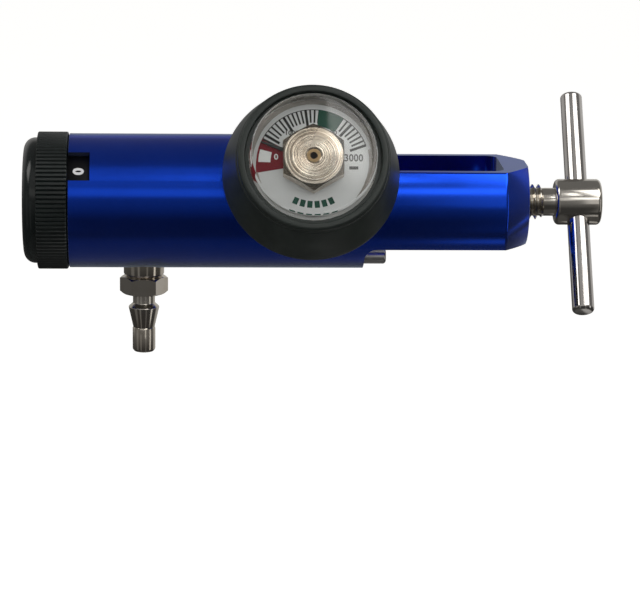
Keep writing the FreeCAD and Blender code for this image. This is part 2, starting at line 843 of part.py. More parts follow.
def selector_knob():
    body = new_piece("selector_knob")
    skirt_inner = skirt_radius - sizes.skirt_wall
    skirt_right = barrel_left_x + sizes.window_length
    hub_right = knob_right_x + 4
    cap_seat = cap_radius - sizes.cap_wall / 2 + sizes.running_gap
    chamfer = sizes.knob_chamfer
    turned(body, "knob_turning", [
        (knob_left_x, cap_seat),
        (knob_left_x, knob_radius - chamfer),
        (knob_left_x + chamfer, knob_radius),
        (knob_right_x - chamfer / 3, knob_radius),
        (knob_right_x, knob_radius - chamfer / 3),
        (knob_right_x, skirt_radius),
        (skirt_right, skirt_radius),
        (skirt_right, skirt_inner),
        (web_right_x, skirt_inner),
        (web_right_x, sizes.hub_radius),
        (hub_right, sizes.hub_radius),
        (hub_right, 0),
        (web_left_x, 0),
        (web_left_x, cap_seat)])
    half = (sizes.square_across + sizes.thread_gap) / 2
    square = outline_sketch(body, "square_outline", [
        (-half, -half), (half, -half), (half, half), (-half, half)], facing_x(web_left_x))
    cut_through(body, "square_hole", square)
    half = sizes.rib_opening / 2
    valley = knob_radius - sizes.rib_depth
    groove = outline_sketch(body, "rib_valley_outline", [
        (-half, knob_radius + 0.1), (half, knob_radius + 0.1), (ZERO, valley)],
        facing_x(knob_left_x))
    first = cut_through(body, "rib_valley", groove)
    pattern = repeated(body, "ribs", first, sheet.rib_count)
    pattern.Refine = False
    return body


def flow_dial():
    # The printed sleeve on the knob's skirt that turns under the window.
    inner = skirt_radius + sizes.thread_gap
    right = barrel_left_x + sizes.recess_length - sizes.seat_gap
    sleeve("flow_dial", knob_right_x, right, inner, dial_radius)


def knob_cap():
    # A domed cup pressed into the knob's left face.
    body = new_piece("knob_cap")
    left = knob_left_x - sizes.cap_height
    spigot = cap_radius - sizes.cap_wall / 2
    inner = spigot - sizes.cap_wall
    dome_sag = 0.4
    dome = turned(body, "cap_turning", [
        (left, 0),
        (left + dome_sag, cap_radius),
        (knob_left_x, cap_radius),
        (knob_left_x, spigot),
        (web_left_x, spigot),
        (web_left_x, inner),
        (left + dome_sag + sizes.cap_wall, inner),
        (left + dome_sag + sizes.cap_wall, 0)])
    doc.recompute()
    edge = circle_edges(dome, [(left + dome_sag, cap_radius)])
    rounded(body, "cap_edge", dome, edge, sizes.cap_edge_radius)
    return body


def knob_screw():
    body = new_piece("knob_screw")
    head_left = web_left_x - 2
    turned(body, "knob_screw_turning", [
        (head_left, 0), (head_left, sizes.knob_screw_head - 0.4),
        (head_left + 0.4, sizes.knob_screw_head), (web_left_x, sizes.knob_screw_head),
        (web_left_x, sizes.knob_screw_radius), (web_right_x, sizes.knob_screw_radius),
        (web_right_x, 0)])
    slot = outline_sketch(body, "driver_outline", [
        (-sizes.knob_screw_head - 1, as_size(-0.4)), (sizes.knob_screw_head + 1, as_size(-0.4)),
        (sizes.knob_screw_head + 1, as_size(0.4)), (-sizes.knob_screw_head - 1, as_size(0.4))],
        facing_x(head_left))
    cut_to_depth(body, "driver_slot", slot, as_size(1.0), outward=True)
    return body


def outlet_fitting():
    # Own x runs down from the barrel's axis: thread, collar, hexagon and hose barb.
    body = new_piece("outlet_fitting", outlet_frame())
    corner = sizes.hex_across / math.sqrt(3)
    hex_end = hex_start_d + sizes.hex_length
    neck_end = hex_end + sizes.barb_neck_length
    flare = neck_end + 1
    taper_end = flare + sizes.barb_taper_length
    tip = taper_end + sizes.barb_tip_length
    bore = sizes.barb_bore_radius
    turned(body, "fitting_turning", [
        (chamber_radius + 0.5, bore),
        (chamber_radius + 0.5, sizes.outlet_thread_radius),
        (outlet_seat_d + 1.3, sizes.outlet_thread_radius),
        (outlet_seat_d + 1.3, sizes.collar_radius - 0.3),
        (outlet_seat_d + 0.4, sizes.collar_radius - 0.3),
        (outlet_seat_d + 0.4, sizes.collar_radius),
        (collar_end_d, sizes.collar_radius),
        (hex_start_d - 0.3, sizes.collar_radius - 0.6),
        (hex_start_d, sizes.hex_across / 2),
        (hex_start_d + 0.5, corner),
        (hex_end - 0.5, corner),
        (hex_end, sizes.hex_across / 2),
        (hex_end, sizes.barb_neck_radius),
        (neck_end, sizes.barb_neck_radius),
        (flare, sizes.barb_flare_radius),
        (taper_end, sizes.barb_taper_radius),
        (taper_end + 0.3, sizes.barb_tip_radius),
        (tip - 0.6, sizes.barb_tip_radius),
        (tip, sizes.barb_tip_radius - 0.5),
        (tip, bore)])
    flats(body, "fitting_flat", sizes.hex_across, hex_start_d - 0.05, hex_end + 0.05,
          corner + 1, 6, turn=30)
    seal_ring("outlet_seal", outlet_seat_d + 0.62, sizes.outlet_thread_radius + 0.66,
              as_size(0.6), outlet_frame())
    return body


def gauge_stem():
    # Screwed into the barrel and running out through the case to the hub.
    body = new_piece("gauge_stem", gauge_frame())
    thread_start = spotface_d - sizes.gauge_thread_length + 0.3
    spigot_front = hub_front_d - 0.3
    turned(body, "stem_turning", [
        (thread_start, as_size(0.9)),
        (thread_start, sizes.gauge_thread_radius),
        (seal_front_d, sizes.gauge_thread_radius),
        (seal_front_d, sizes.gauge_collar_radius),
        (case_back_d, sizes.gauge_collar_radius),
        (case_back_d, sizes.gauge_shaft_radius),
        (shaft_front_d, sizes.gauge_shaft_radius),
        (shaft_front_d, sizes.gauge_spigot_radius),
        (spigot_front, sizes.gauge_spigot_radius),
        (spigot_front, as_size(0.9))])
    flats(body, "stem_flat", sizes.gauge_collar_radius * 2 - 1.4, seal_front_d + 1,
          case_back_d - 1, sizes.gauge_collar_radius + 1, 2)
    sleeve("gauge_seal", spotface_d, seal_front_d, sizes.gauge_thread_radius + 0.05,
           sizes.gauge_collar_radius, gauge_frame())
    return body


def gauge_case():
    body = new_piece("gauge_case", gauge_frame())
    floor = case_back_d + sizes.case_back_thickness
    ledge = sizes.case_radius - sizes.case_ledge
    turned(body, "case_turning", [
        (case_back_d, sizes.gauge_shaft_radius + 0.02),
        (case_back_d, sizes.case_radius - 1),
        (case_back_d + 1, sizes.case_radius),
        (case_rim_d, sizes.case_radius),
        (case_rim_d, sizes.case_radius - sizes.case_wall),
        (dial_back_d, sizes.case_radius - sizes.case_wall),
        (dial_back_d, ledge),
        (floor, ledge),
        (floor, sizes.gauge_shaft_radius + 0.02)])
    return body


def gauge_face():
    sleeve("gauge_dial", dial_back_d, dial_face_d, sizes.gauge_shaft_radius + 0.1,
           lens_radius - sizes.running_gap, gauge_frame())
    body = new_piece("gauge_pointer", gauge_frame(sheet.pointer_angle))
    turned(body, "pointer_ring", [
        (pointer_back_d, sizes.gauge_shaft_radius + sizes.running_gap),
        (pointer_back_d, sizes.pointer_ring_radius),
        (pointer_front_d, sizes.pointer_ring_radius),
        (pointer_front_d, sizes.gauge_shaft_radius + sizes.running_gap)])
    root = sizes.pointer_ring_radius - 0.6
    reach = lens_radius - sizes.pointer_margin
    needle_outline = outline_sketch(body, "needle_outline", [
        (root, -sizes.pointer_width / 2), (reach, -sizes.pointer_tip_width / 2),
        (reach, sizes.pointer_tip_width / 2), (root, sizes.pointer_width / 2)],
        facing_x(pointer_back_d))
    needle = body.newObject("PartDesign::Pad", "needle")
    needle.Profile = needle_outline
    needle.Length = sizes.pointer_thickness.number
    needle.setExpression("Length", sizes.pointer_thickness.text)


def gauge_hub():
    # The brass hexagon that clamps the coil, its front corners turned off to a round face.
    body = new_piece("gauge_hub", gauge_frame())
    corner = sizes.hub_across / math.sqrt(3)
    bore = sizes.gauge_spigot_radius + 0.02
    turned(body, "hub_turning", [
        (hub_back_d, bore), (hub_back_d, corner),
        (hub_front_d - 0.7, corner),
        (hub_front_d, sizes.hub_across / 2 - sizes.hub_bevel),
        (hub_front_d, bore)])
    flats(body, "hub_flat", sizes.hub_across, hub_back_d - 0.1, hub_front_d + 0.1,
          corner + 1, 6, turn=30)
    return body


def bourdon_coil():
    # The flattened pressure tube, wound between the pointer and the hub.
    wide = sizes.coil_half_width
    thin = sizes.coil_half_thickness

    def tube_section(body, x, radius):
        return outline_sketch(body, "tube_section", [
            (x - thin, radius - wide), (x + thin, radius - wide),
            (x + thin, radius + wide), (x - thin, radius + wide)])

    start = hub_back_d - sizes.coil_pitch * sizes.coil_turns - thin - 0.1
    coil("bourdon_coil", start, sizes.coil_radius, sizes.coil_pitch, sizes.coil_turns,
         tube_section, gauge_frame())


def gauge_lens():
    body = new_piece("gauge_lens", gauge_frame())
    inner = lens_radius - sizes.lens_wall
    back = dial_face_d
    shoulder = dial_face_d + sizes.lens_shoulder_height
    front = dial_face_d + sizes.lens_height
    turned(body, "lens_turning", [
        (back, inner),
        (back, lens_radius),
        (shoulder, lens_radius),
        (shoulder + 1.4, lens_radius - 0.6),
        (front - 0.7, lens_radius - 2.0),
        (front - 0.1, lens_radius - 4.0),
        (front, 0),
        (front - 1.5, 0),
        (front - 1.6, lens_radius - 4.4),
        (shoulder + 1.0, inner)])
    return body


def gauge_boot():
    # The thick rubber guard: a flared skirt with a rolled lip round the lens.
    body = new_piece("gauge_boot", gauge_frame())
    inner = sizes.case_radius + 0.1
    back = case_back_d - sizes.boot_floor
    back_radius = sizes.case_radius + sizes.boot_flare
    front_radius = sizes.case_radius + sizes.boot_wall
    lip_radius = front_radius - sizes.boot_lip_step
    rim_end = back + sizes.boot_rim_thickness
    lip_back = boot_front_d - sizes.boot_lip_length
    skirt = turned(body, "boot_turning", [
        (back, sizes.boot_neck_radius),
        (back, back_radius),
        (rim_end, back_radius),
        (lip_back, front_radius),
        (lip_back, lip_radius),
        (boot_front_d, lip_radius),
        (boot_front_d, inner + 0.2),
        (case_rim_d, inner),
        (case_back_d, inner),
        (case_back_d, sizes.boot_neck_radius)])
    doc.recompute()
    back_edges = circle_edges(skirt, [(back, back_radius)])
    back_round = rounded(body, "boot_back_edge", skirt, back_edges, as_size(0.8))
    doc.recompute()
    lip = circle_edges(back_round, [(boot_front_d, lip_radius)])
    rounded(body, "boot_lip", back_round, lip, as_size(0.8))
    return body


def yoke_screw():
    body = new_piece("yoke_screw")
    cone_end = screw_tip_x + sizes.screw_cone_length
    ring_end = ring_start_x + sizes.ring_width + 0.2
    turning = turned(body, "screw_turning", [
        (screw_tip_x, 0),
        (screw_tip_x, sizes.screw_point_radius),
        (cone_end, sizes.screw_dog_radius),
        (ring_start_x, sizes.screw_dog_radius),
        (ring_start_x, sizes.ring_groove_radius),
        (ring_end, sizes.ring_groove_radius),
        (ring_end, sizes.screw_radius - 0.6),
        (ring_end + 0.6, sizes.screw_radius),
        (thread_end_x - 0.5, sizes.screw_radius),
        (thread_end_x, sizes.neck_radius),
        (head_start_x, sizes.neck_radius),
        (head_start_x, sizes.head_radius),
        (head_end_x, sizes.head_radius),
        (head_end_x, 0)])
    doc.recompute()
    ends = circle_edges(turning, [(head_start_x, sizes.head_radius),
                                  (head_end_x, sizes.head_radius)])
    rounded(body, "head_ends", turning, ends, sizes.head_edge)
    half = sizes.head_radius + 1
    hole = sizes.bar_radius + 0.02
    bored(body, "bar_hole", [(-half, 0), (-half, hole), (half, hole), (half, 0)], bar_frame())
    return body


def bar_frame():
    # Own x runs along the bar, whose top leans away from the gauge side.
    lean = math.radians(sheet.bar_lean)
    upward = FreeCAD.Vector(0, math.sin(lean), math.cos(lean))
    middle = head_start_x + sizes.head_length / 2
    return frame(FreeCAD.Vector(middle.number, 0, 0), upward, X_AXIS)


def screw_ring():
    # A split ring, loose in its groove, that keeps the screw in the yoke.
    start = ring_start_x + 0.1
    inner = sizes.ring_groove_radius + sizes.running_gap
    body = sleeve("screw_ring", start, start + sizes.ring_width, inner, sizes.ring_outer_radius)
    gap = outline_sketch(body, "ring_gap_outline", [
        (as_size(-0.6), ZERO), (as_size(0.6), ZERO),
        (as_size(0.6), sizes.ring_outer_radius + 1), (as_size(-0.6), sizes.ring_outer_radius + 1)],
        facing_x(start))
    cut_through(body, "ring_gap", gap)
    return body


def build_pieces():
    regulator_body()
    inlet_nipple()
    inlet_filter()
    index_pins()
    sealing_washer()
    piston()
    main_spring()
    flow_block()
    detent()
    orifice_plate()
    selector_shaft()
    flow_bonnet()
    selector_knob()
    flow_dial()
    knob_cap()
    knob_screw()
    outlet_fitting()
    gauge_stem()
    gauge_case()
    gauge_face()
    gauge_hub()
    bourdon_coil()
    gauge_lens()
    gauge_boot()
    yoke_screw()
    round_bar("t_bar", -sizes.bar_length / 2, sizes.bar_length / 2, sizes.bar_radius,
              sizes.bar_edge, bar_frame())
    screw_ring()


def write_pieces():
    doc.recompute()
    for item in doc.Objects:
        if "Invalid" in item.State or "Error" in item.State:
            raise RuntimeError("failed: %s %s" % (item.Name, item.State))
    os.makedirs("parts", exist_ok=True)
    pieces = [item for item in doc.Objects if item.TypeId == "PartDesign::Body"]
    for piece in pieces:
        shape = piece.Shape
        if shape.isNull() or not shape.isValid() or not shape.Solids:
            raise RuntimeError("no valid solid: " + piece.Label)
        shape.exportStep("parts/%s.step" % piece.Label)
        print("%s: %d solid, %.1f mm3" % (piece.Label, len(shape.Solids), shape.Volume))


build_pieces()
write_pieces()
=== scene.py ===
import math
import bmesh
import bpy
from mathutils import Matrix, Vector


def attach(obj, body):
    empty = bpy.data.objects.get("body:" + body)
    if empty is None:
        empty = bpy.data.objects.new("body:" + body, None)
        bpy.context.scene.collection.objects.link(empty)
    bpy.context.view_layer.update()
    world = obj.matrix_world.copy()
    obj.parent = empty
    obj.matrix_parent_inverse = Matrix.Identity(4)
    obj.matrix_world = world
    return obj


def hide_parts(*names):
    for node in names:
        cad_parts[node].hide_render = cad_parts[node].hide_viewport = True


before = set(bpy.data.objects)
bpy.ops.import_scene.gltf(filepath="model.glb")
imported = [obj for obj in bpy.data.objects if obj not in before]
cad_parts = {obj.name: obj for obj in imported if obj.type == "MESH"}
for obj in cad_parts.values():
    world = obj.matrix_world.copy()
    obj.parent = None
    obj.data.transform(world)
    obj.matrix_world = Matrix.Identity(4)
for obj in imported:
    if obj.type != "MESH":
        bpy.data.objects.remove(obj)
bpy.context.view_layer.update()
mm = 0.001
scene = bpy.context.scene
scene.view_settings.view_transform = "Standard"
print("stage: frame loaded,", len(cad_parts), "nodes")


# camera
cameraView = {
    "lens": 164.5875,      # millimetres on a 36 mm sensor
    "sensor": 36,
    "pitch": 12.6,         # degrees down
    "yaw": 2.8,
    "roll": 0.10,
    "distance": 758.8,     # millimetres from the aim point
    "drop": 25.27,         # the aim point stands this far under the axis
    "aimX": -11.02,
}


def makeCamera():
    view = cameraView
    pitch, yaw, roll = (math.radians(view[key]) for key in ("pitch", "yaw", "roll"))
    toward = Vector((math.sin(yaw), math.cos(yaw) * math.cos(pitch), -math.cos(yaw) * math.sin(pitch)))
    right = Vector((math.cos(yaw), -math.sin(yaw) * math.cos(pitch), math.sin(yaw) * math.sin(pitch)))
    up = right.cross(toward)
    right, up = (right * math.cos(roll) + up * math.sin(roll),
                 up * math.cos(roll) - right * math.sin(roll))
    aim = Vector((view["aimX"] * mm, 0, 0)) - up * view["drop"] * mm
    lens = bpy.data.cameras.new("camera")
    lens.sensor_width = view["sensor"]
    lens.lens = view["lens"]
    lens.clip_start = 0.01
    camera = bpy.data.objects.new("camera", lens)
    scene.collection.objects.link(camera)
    turn = Matrix((right, up, -toward)).transposed().to_4x4()
    turn.translation = aim - toward * view["distance"] * mm
    camera.matrix_world = turn
    scene.camera = camera


# node helpers
def feed(tree, node, inputs):
    # each input takes a plain value or another node's output
    for name, value in inputs.items():
        socket = node.inputs[name]
        if isinstance(value, bpy.types.NodeSocket):
            tree.links.new(value, socket)
        elif socket.type == "RGBA":
            socket.default_value = (*value, 1)
        else:
            socket.default_value = value


def addNode(tree, kind, inputs=None, **settings):
    node = tree.nodes.new(kind)
    for name, value in settings.items():
        setattr(node, name, value)
    feed(tree, node, inputs or {})
    return node


def mathNode(tree, operation, *values, clamp=False):
    return addNode(tree, "ShaderNodeMath", dict(enumerate(values)),
                   operation=operation, use_clamp=clamp).outputs[0]


def product(tree, first, second):
    return mathNode(tree, "MULTIPLY", first, second)


def rangeNode(tree, value, low, high, toLow=0.0, toHigh=1.0, kind="SMOOTHSTEP"):
    return addNode(tree, "ShaderNodeMapRange", {
        "Value": value, "From Min": low, "From Max": high, "To Min": toLow, "To Max": toHigh},
        interpolation_type=kind).outputs["Result"]


def mixColour(tree, factor, first, second):
    return addNode(tree, "ShaderNodeMix", {0: factor, 6: first, 7: second}, data_type="RGBA").outputs[2]


def mixShaders(tree, factor, first, second):
    return addNode(tree, "ShaderNodeMixShader", {0: factor, 1: first, 2: second}).outputs[0]


def noise(tree, vector, scale, detail, roughness=0.5, distortion=0.0):
    return addNode(tree, "ShaderNodeTexNoise", {
        "Vector": vector, "Scale": scale, "Detail": detail, "Roughness": roughness,
        "Distortion": distortion}).outputs["Fac"]


def seenDirectly(tree, path):
    # camera rays, and those that reach the room through the lens
    return mathNode(tree, "ADD", path["Is Camera Ray"], path["Is Transmission Ray"], clamp=True)


def makeObject(name, mesh, matrix=None):
    if matrix is not None:
        bmesh.ops.transform(mesh, matrix=matrix, verts=mesh.verts)
    data = bpy.data.meshes.new(name)
    mesh.to_mesh(data)
    mesh.free()
    piece = bpy.data.objects.new(name, data)
    scene.collection.objects.link(piece)
    return piece


# room
room = {
    "diffuseLevel": 0.42,      # plain light from all round
    "warmLight": (1, 0.99, 0.97),
    "mirroredLight": (1, 0.985, 0.96),
    "glossyRoom": 0.17,        # what metal sees of the dim room
    "glossyUnder": 0.045,      # and of the floor right under the object
    "horizon": (-22, 4),       # degrees of elevation between those two
    "floorColour": (0.84, 0.84, 0.83),
    "floorGlow": 0.64,         # lifts the floor to white for the camera
    "floorHeight": -160,       # millimetres
    "floorReach": 6,           # metres
}

# soft panels that only metal and gloss see, in degrees: azimuth from the front and to the right,
# elevation, how softly each of the two ends, and then the brightness
panels = {
    "front": ((-40, 8), (38, 64), (6, 10), 0.23),
    "lowFront": ((-40, 4), (19, 28), (6, 5), 0.48),
    "highBand": ((6.2, 10.4), (44, 53), (0.8, 3), 3.0),
    "lowBand": ((5.6, 30), (24, 31), (1.0, 3), 1.5),
    "lowBandRight": ((10.5, 22), (2, 30), (0.8, 3), 0.5),
    "underBand": ((20, 40), (-64, -57), (1, 2), 0.4),
    "backUnder": ((148, 163), (-72, -48), (1.5, 3), 0.35),
    "underGlow": ((-181, 181), (-91, -62), (1, 10), 0.04),
    "leftWindow": ((-93, -62), (36, 60), (5, 6), 2.5),
    "rightWindow": ((19, 77), (36, 66), (3, 6), 2.7),
    "rightStrip": ((61, 69), (-30, 12), (3, 5), 0.9),
    "leftStrip": ((-76, -60), (-30, 12), (5, 5), 0.10),
    "thinStrip": ((-34, -26), (-40, 4), (3, 5), 0.14),
    "narrowStrip": ((17, 22), (-40, 2), (3, 5), 0.12),
    "backLeft": ((-181, -118), (6, 24), (16, 14), 0.27),
    "backRight": ((118, 181), (-20, 24), (16, 14), 0.40),
}


def between(tree, value, span, soft):
    rise = rangeNode(tree, value, span[0] - soft, span[0])
    fall = rangeNode(tree, value, span[1], span[1] + soft, 1.0, 0.0)
    return product(tree, rise, fall)


def mirroredRoom(tree):
    # the brightness that glossy rays find in each direction
    direction = addNode(tree, "ShaderNodeTexCoord").outputs["Generated"]
    parts = addNode(tree, "ShaderNodeSeparateXYZ", {0: direction}).outputs
    toward = product(tree, parts["Y"], -1.0)
    azimuth = mathNode(tree, "DEGREES", mathNode(tree, "ARCTAN2", parts["X"], toward))
    elevation = mathNode(tree, "DEGREES", mathNode(tree, "ARCSINE", parts["Z"]))
    total = rangeNode(tree, elevation, *room["horizon"], room["glossyUnder"], room["glossyRoom"],
                      kind="LINEAR")
    for azimuths, elevations, soft, level in panels.values():
        seen = product(tree, between(tree, azimuth, azimuths, soft[0]),
                       between(tree, elevation, elevations, soft[1]))
        total = mathNode(tree, "MULTIPLY_ADD", seen, level, total)
    return total


def makeWorld():
    world = bpy.data.worlds.new("studio")
    scene.world = world
    world.use_nodes = True
    tree = world.node_tree
    tree.nodes.clear()
    path = addNode(tree, "ShaderNodeLightPath").outputs
    soft, mirrored, white = (
        addNode(tree, "ShaderNodeBackground", {"Color": colour, "Strength": strength}).outputs[0]
        for colour, strength in (
            (room["warmLight"], room["diffuseLevel"]),
            (room["mirroredLight"], mirroredRoom(tree)),
            ((1, 1, 1), 1.0)))
    shiny = mixShaders(tree, path["Is Glossy Ray"], soft, mirrored)
    addNode(tree, "ShaderNodeOutputWorld", {
        "Surface": mixShaders(tree, seenDirectly(tree, path), shiny, white)})


def makeFloor():
    mesh = bmesh.new()
    bmesh.ops.create_grid(mesh, x_segments=1, y_segments=1, size=room["floorReach"])
    bmesh.ops.translate(mesh, verts=mesh.verts, vec=(0, 0, room["floorHeight"] * mm))
    floor = makeObject("floor", mesh)
    paint = bpy.data.materials.new("paleFloor")
    paint.use_nodes = True
    tree = paint.node_tree
    tree.nodes.clear()
    seen = seenDirectly(tree, addNode(tree, "ShaderNodeLightPath").outputs)
    plain = addNode(tree, "ShaderNodeBsdfDiffuse", {"Color": room["floorColour"]})
    glow = addNode(tree, "ShaderNodeEmission", {
        "Color": (1, 1, 1), "Strength": product(tree, seen, room["floorGlow"])})
    both = addNode(tree, "ShaderNodeAddShader", {0: plain.outputs[0], 1: glow.outputs[0]})
    addNode(tree, "ShaderNodeOutputMaterial", {"Surface": both.outputs[0]})
    floor.data.materials.append(paint)
    floor.visible_glossy = False       # metal sees the room's own floor level instead


# lamps that face the object: x, elevation in degrees, distance and size in metres, and watts
# for each square metre
lampAim = (-0.0126, 0, 0)
lamps = {
    "leftLamp": (-0.35, 48, 0.6, (0.5, 0.45), 3.0),
    "rightLamp": (0.35, 36, 0.6, (0.5, 0.45), 3.0),
    "topLamp": (0.0, 84, 0.8, (0.6, 0.4), 2.8),
}


def makeLamps():
    for name, (x, elevation, distance, size, power) in lamps.items():
        light = bpy.data.lights.new(name, "AREA")
        light.shape = "RECTANGLE"
        light.size, light.size_y = size
        light.energy = power * size[0] * size[1]
        light.color = room["warmLight"]
        lamp = bpy.data.objects.new(name, light)
        scene.collection.objects.link(lamp)
        angle = math.radians(elevation)
        lamp.location = (x, -distance * math.cos(angle), distance * math.sin(angle))
        lamp.rotation_euler = (lamp.location - Vector(lampAim)).to_track_quat("Z", "Y").to_euler()
        lamp.visible_camera = False
        lamp.visible_glossy = False


makeCamera()
makeWorld()
makeFloor()
makeLamps()
print("stage: camera, room and lamps")


# shared effects
def newGroup(name, inputs, outputs):
    # a group that takes a place and some numbers, and gives numbers
    tree = bpy.data.node_groups.new(name, "ShaderNodeTree")
    tree.interface.new_socket("Vector", in_out="INPUT", socket_type="NodeSocketVector")
    for label, value in inputs.items():
        socket = tree.interface.new_socket(label, in_out="INPUT", socket_type="NodeSocketFloat")
        socket.default_value = value
    for label in outputs:
        tree.interface.new_socket(label, in_out="OUTPUT", socket_type="NodeSocketFloat")
    return tree, tree.nodes.new("NodeGroupInput").outputs, tree.nodes.new("NodeGroupOutput")


def makeTurningMarks():
    # fine tool lines round the x axis, on cylinders and on end faces alike
    tree, given, result = newGroup("turningMarks", {"Lines": 6000.0, "Unevenness": 0.5},
                                   ("Height", "Patches"))
    parts = addNode(tree, "ShaderNodeSeparateXYZ", {0: given["Vector"]}).outputs
    squares = [product(tree, parts[axis], parts[axis]) for axis in ("Y", "Z")]
    radius = mathNode(tree, "SQRT", mathNode(tree, "ADD", *squares))
    place = addNode(tree, "ShaderNodeCombineXYZ", {
        "X": product(tree, parts["X"], given["Lines"]),
        "Y": product(tree, radius, given["Lines"])})
    lines = noise(tree, place.outputs[0], 1.0, 2.0, 0.6)
    uneven = rangeNode(tree, noise(tree, given["Vector"], 90.0, 3.0, 0.55), 0.35, 0.7)
    kept = mathNode(tree, "SUBTRACT", 1.0, product(tree, uneven, given["Unevenness"]))
    feed(tree, result, {"Height": product(tree, lines, kept), "Patches": uneven})
    return tree


def makeSurfaceGrain():
    # the fine pebbled skin of moulded plastic and rubber
    tree, given, result = newGroup("surfaceGrain", {"Scale": 3000.0, "Dust": 0.3}, ("Height", "Dust"))
    spread = rangeNode(tree, noise(tree, given["Vector"], 140.0, 5.0, 0.65), 0.42, 0.72)
    feed(tree, result, {"Height": noise(tree, given["Vector"], given["Scale"], 3.0, 0.6),
                        "Dust": product(tree, spread, given["Dust"])})
    return tree


def makeHandling():
    # faint smears and short scratches that change the gloss
    tree, given, result = newGroup("handling", {"Roughness": 0.2, "Smears": 0.08},
                                   ("Roughness", "Scratches"))
    cloud = noise(tree, given["Vector"], 55.0, 4.0, distortion=0.8)
    smear = product(tree, rangeNode(tree, cloud, 0.4, 0.75), given["Smears"])
    stretch = addNode(tree, "ShaderNodeMapping", {
        "Vector": given["Vector"], "Rotation": (0.3, 0.5, 0.9), "Scale": (1.0, 0.12, 0.35)})
    cells = addNode(tree, "ShaderNodeTexVoronoi", {"Vector": stretch.outputs[0], "Scale": 420.0},
                    feature="DISTANCE_TO_EDGE")
    scratch = rangeNode(tree, cells.outputs["Distance"], 0.0, 0.012, 1.0, 0.0)
    feed(tree, result, {
        "Roughness": mathNode(tree, "ADD", given["Roughness"], smear),
        "Scratches": product(tree, scratch, rangeNode(tree, cloud, 0.55, 0.65))})
    return tree


turningMarks = makeTurningMarks()
surfaceGrain = makeSurfaceGrain()
handling = makeHandling()


def placeGroup(tree, group, vector, look):
    # the look names its values as the group names its inputs
    node = addNode(tree, "ShaderNodeGroup", {"Vector": vector}, node_tree=group)
    feed(tree, node, {name: look[name] for name in node.inputs.keys() if name != "Vector"})
    return node.outputs


def newMaterial(name, sockets):
    # sockets holds plain values of the shader's own inputs
    material = bpy.data.materials.new(name)
    material.use_nodes = True
    tree = material.node_tree
    shader = tree.nodes["Principled BSDF"]
    feed(tree, shader, sockets)
    return material, tree, shader


def objectPlace(tree, turn=None):
    # object coordinates, turned into a sub-part's own frame where it has one
    place = addNode(tree, "ShaderNodeTexCoord").outputs["Object"]
    if turn is None:
        return place
    inverse = turn.inverted()
    return addNode(tree, "ShaderNodeMapping", {
        "Vector": place, "Location": inverse.translation, "Rotation": inverse.to_euler("XYZ")}).outputs[0]


def surfaceInto(tree, shader, look, place, colour, height):
    # the wear and the bump that every finish has
    worn = placeGroup(tree, handling, place, look)
    if "scratches" in look:
        scratched = product(tree, worn["Scratches"], look["scratches"])
        colour = mixColour(tree, scratched, colour, look["scratch"])
    bump = addNode(tree, "ShaderNodeBump", {
        "Strength": look["bump"], "Distance": look["depth"], "Height": height})
    feed(tree, shader, {"Base Color": colour, "Roughness": worn["Roughness"], "Normal": bump.outputs[0]})


def metalFinish(name, look):
    # a machined or plated metal: tool lines, smears and a slight drift of colour
    material, tree, shader = newMaterial(name, {"Metallic": 1.0, **look.get("sockets", {})})
    place = objectPlace(tree, look.get("frame"))
    marks = placeGroup(tree, turningMarks, place, look)
    colour = mixColour(tree, marks["Patches"], look["colour"], look["drift"])
    if "dark" in look:
        grooves = rangeNode(tree, marks["Height"], 0.30, 0.50, look["grooves"], 0.0)
        colour = mixColour(tree, grooves, colour, look["dark"])
    surfaceInto(tree, shader, look, place, colour, marks["Height"])
    return material


def mouldedFinish(name, look):
    # plastic, rubber or print with a fine skin and a trace of dust
    material, tree, shader = newMaterial(name, look.get("sockets", {}))
    place = objectPlace(tree)
    grain = placeGroup(tree, surfaceGrain, place, look)
    colour = mixColour(tree, grain["Dust"], look["colour"], look["dusty"])
    surfaceInto(tree, shader, look, place, colour, grain["Height"])
    return material


# own frames of the sub-parts, as the solids have them
def ownFrame(origin, along, across):
    along, across = Vector(along), Vector(across)
    turn = Matrix((along, across, along.cross(across))).transposed().to_4x4()
    turn.translation = Vector(origin) * mm
    return turn


gaugeTilt = math.radians(27.25)
gaugeFrame = ownFrame((-14.4, 0, 0), (0, -math.cos(gaugeTilt), math.sin(gaugeTilt)), (1, 0, 0))
outletFrame = ownFrame((-56.6, 0, 0), (0, 0, -1), (0, 1, 0))
barLean = math.radians(36)
barFrame = ownFrame((56.0, 0, 0), (0, math.sin(barLean), math.cos(barLean)), (1, 0, 0))
ventFrame = ownFrame((-35.17, 0, 0), (0, 1, 0), (-1, 0, 0))

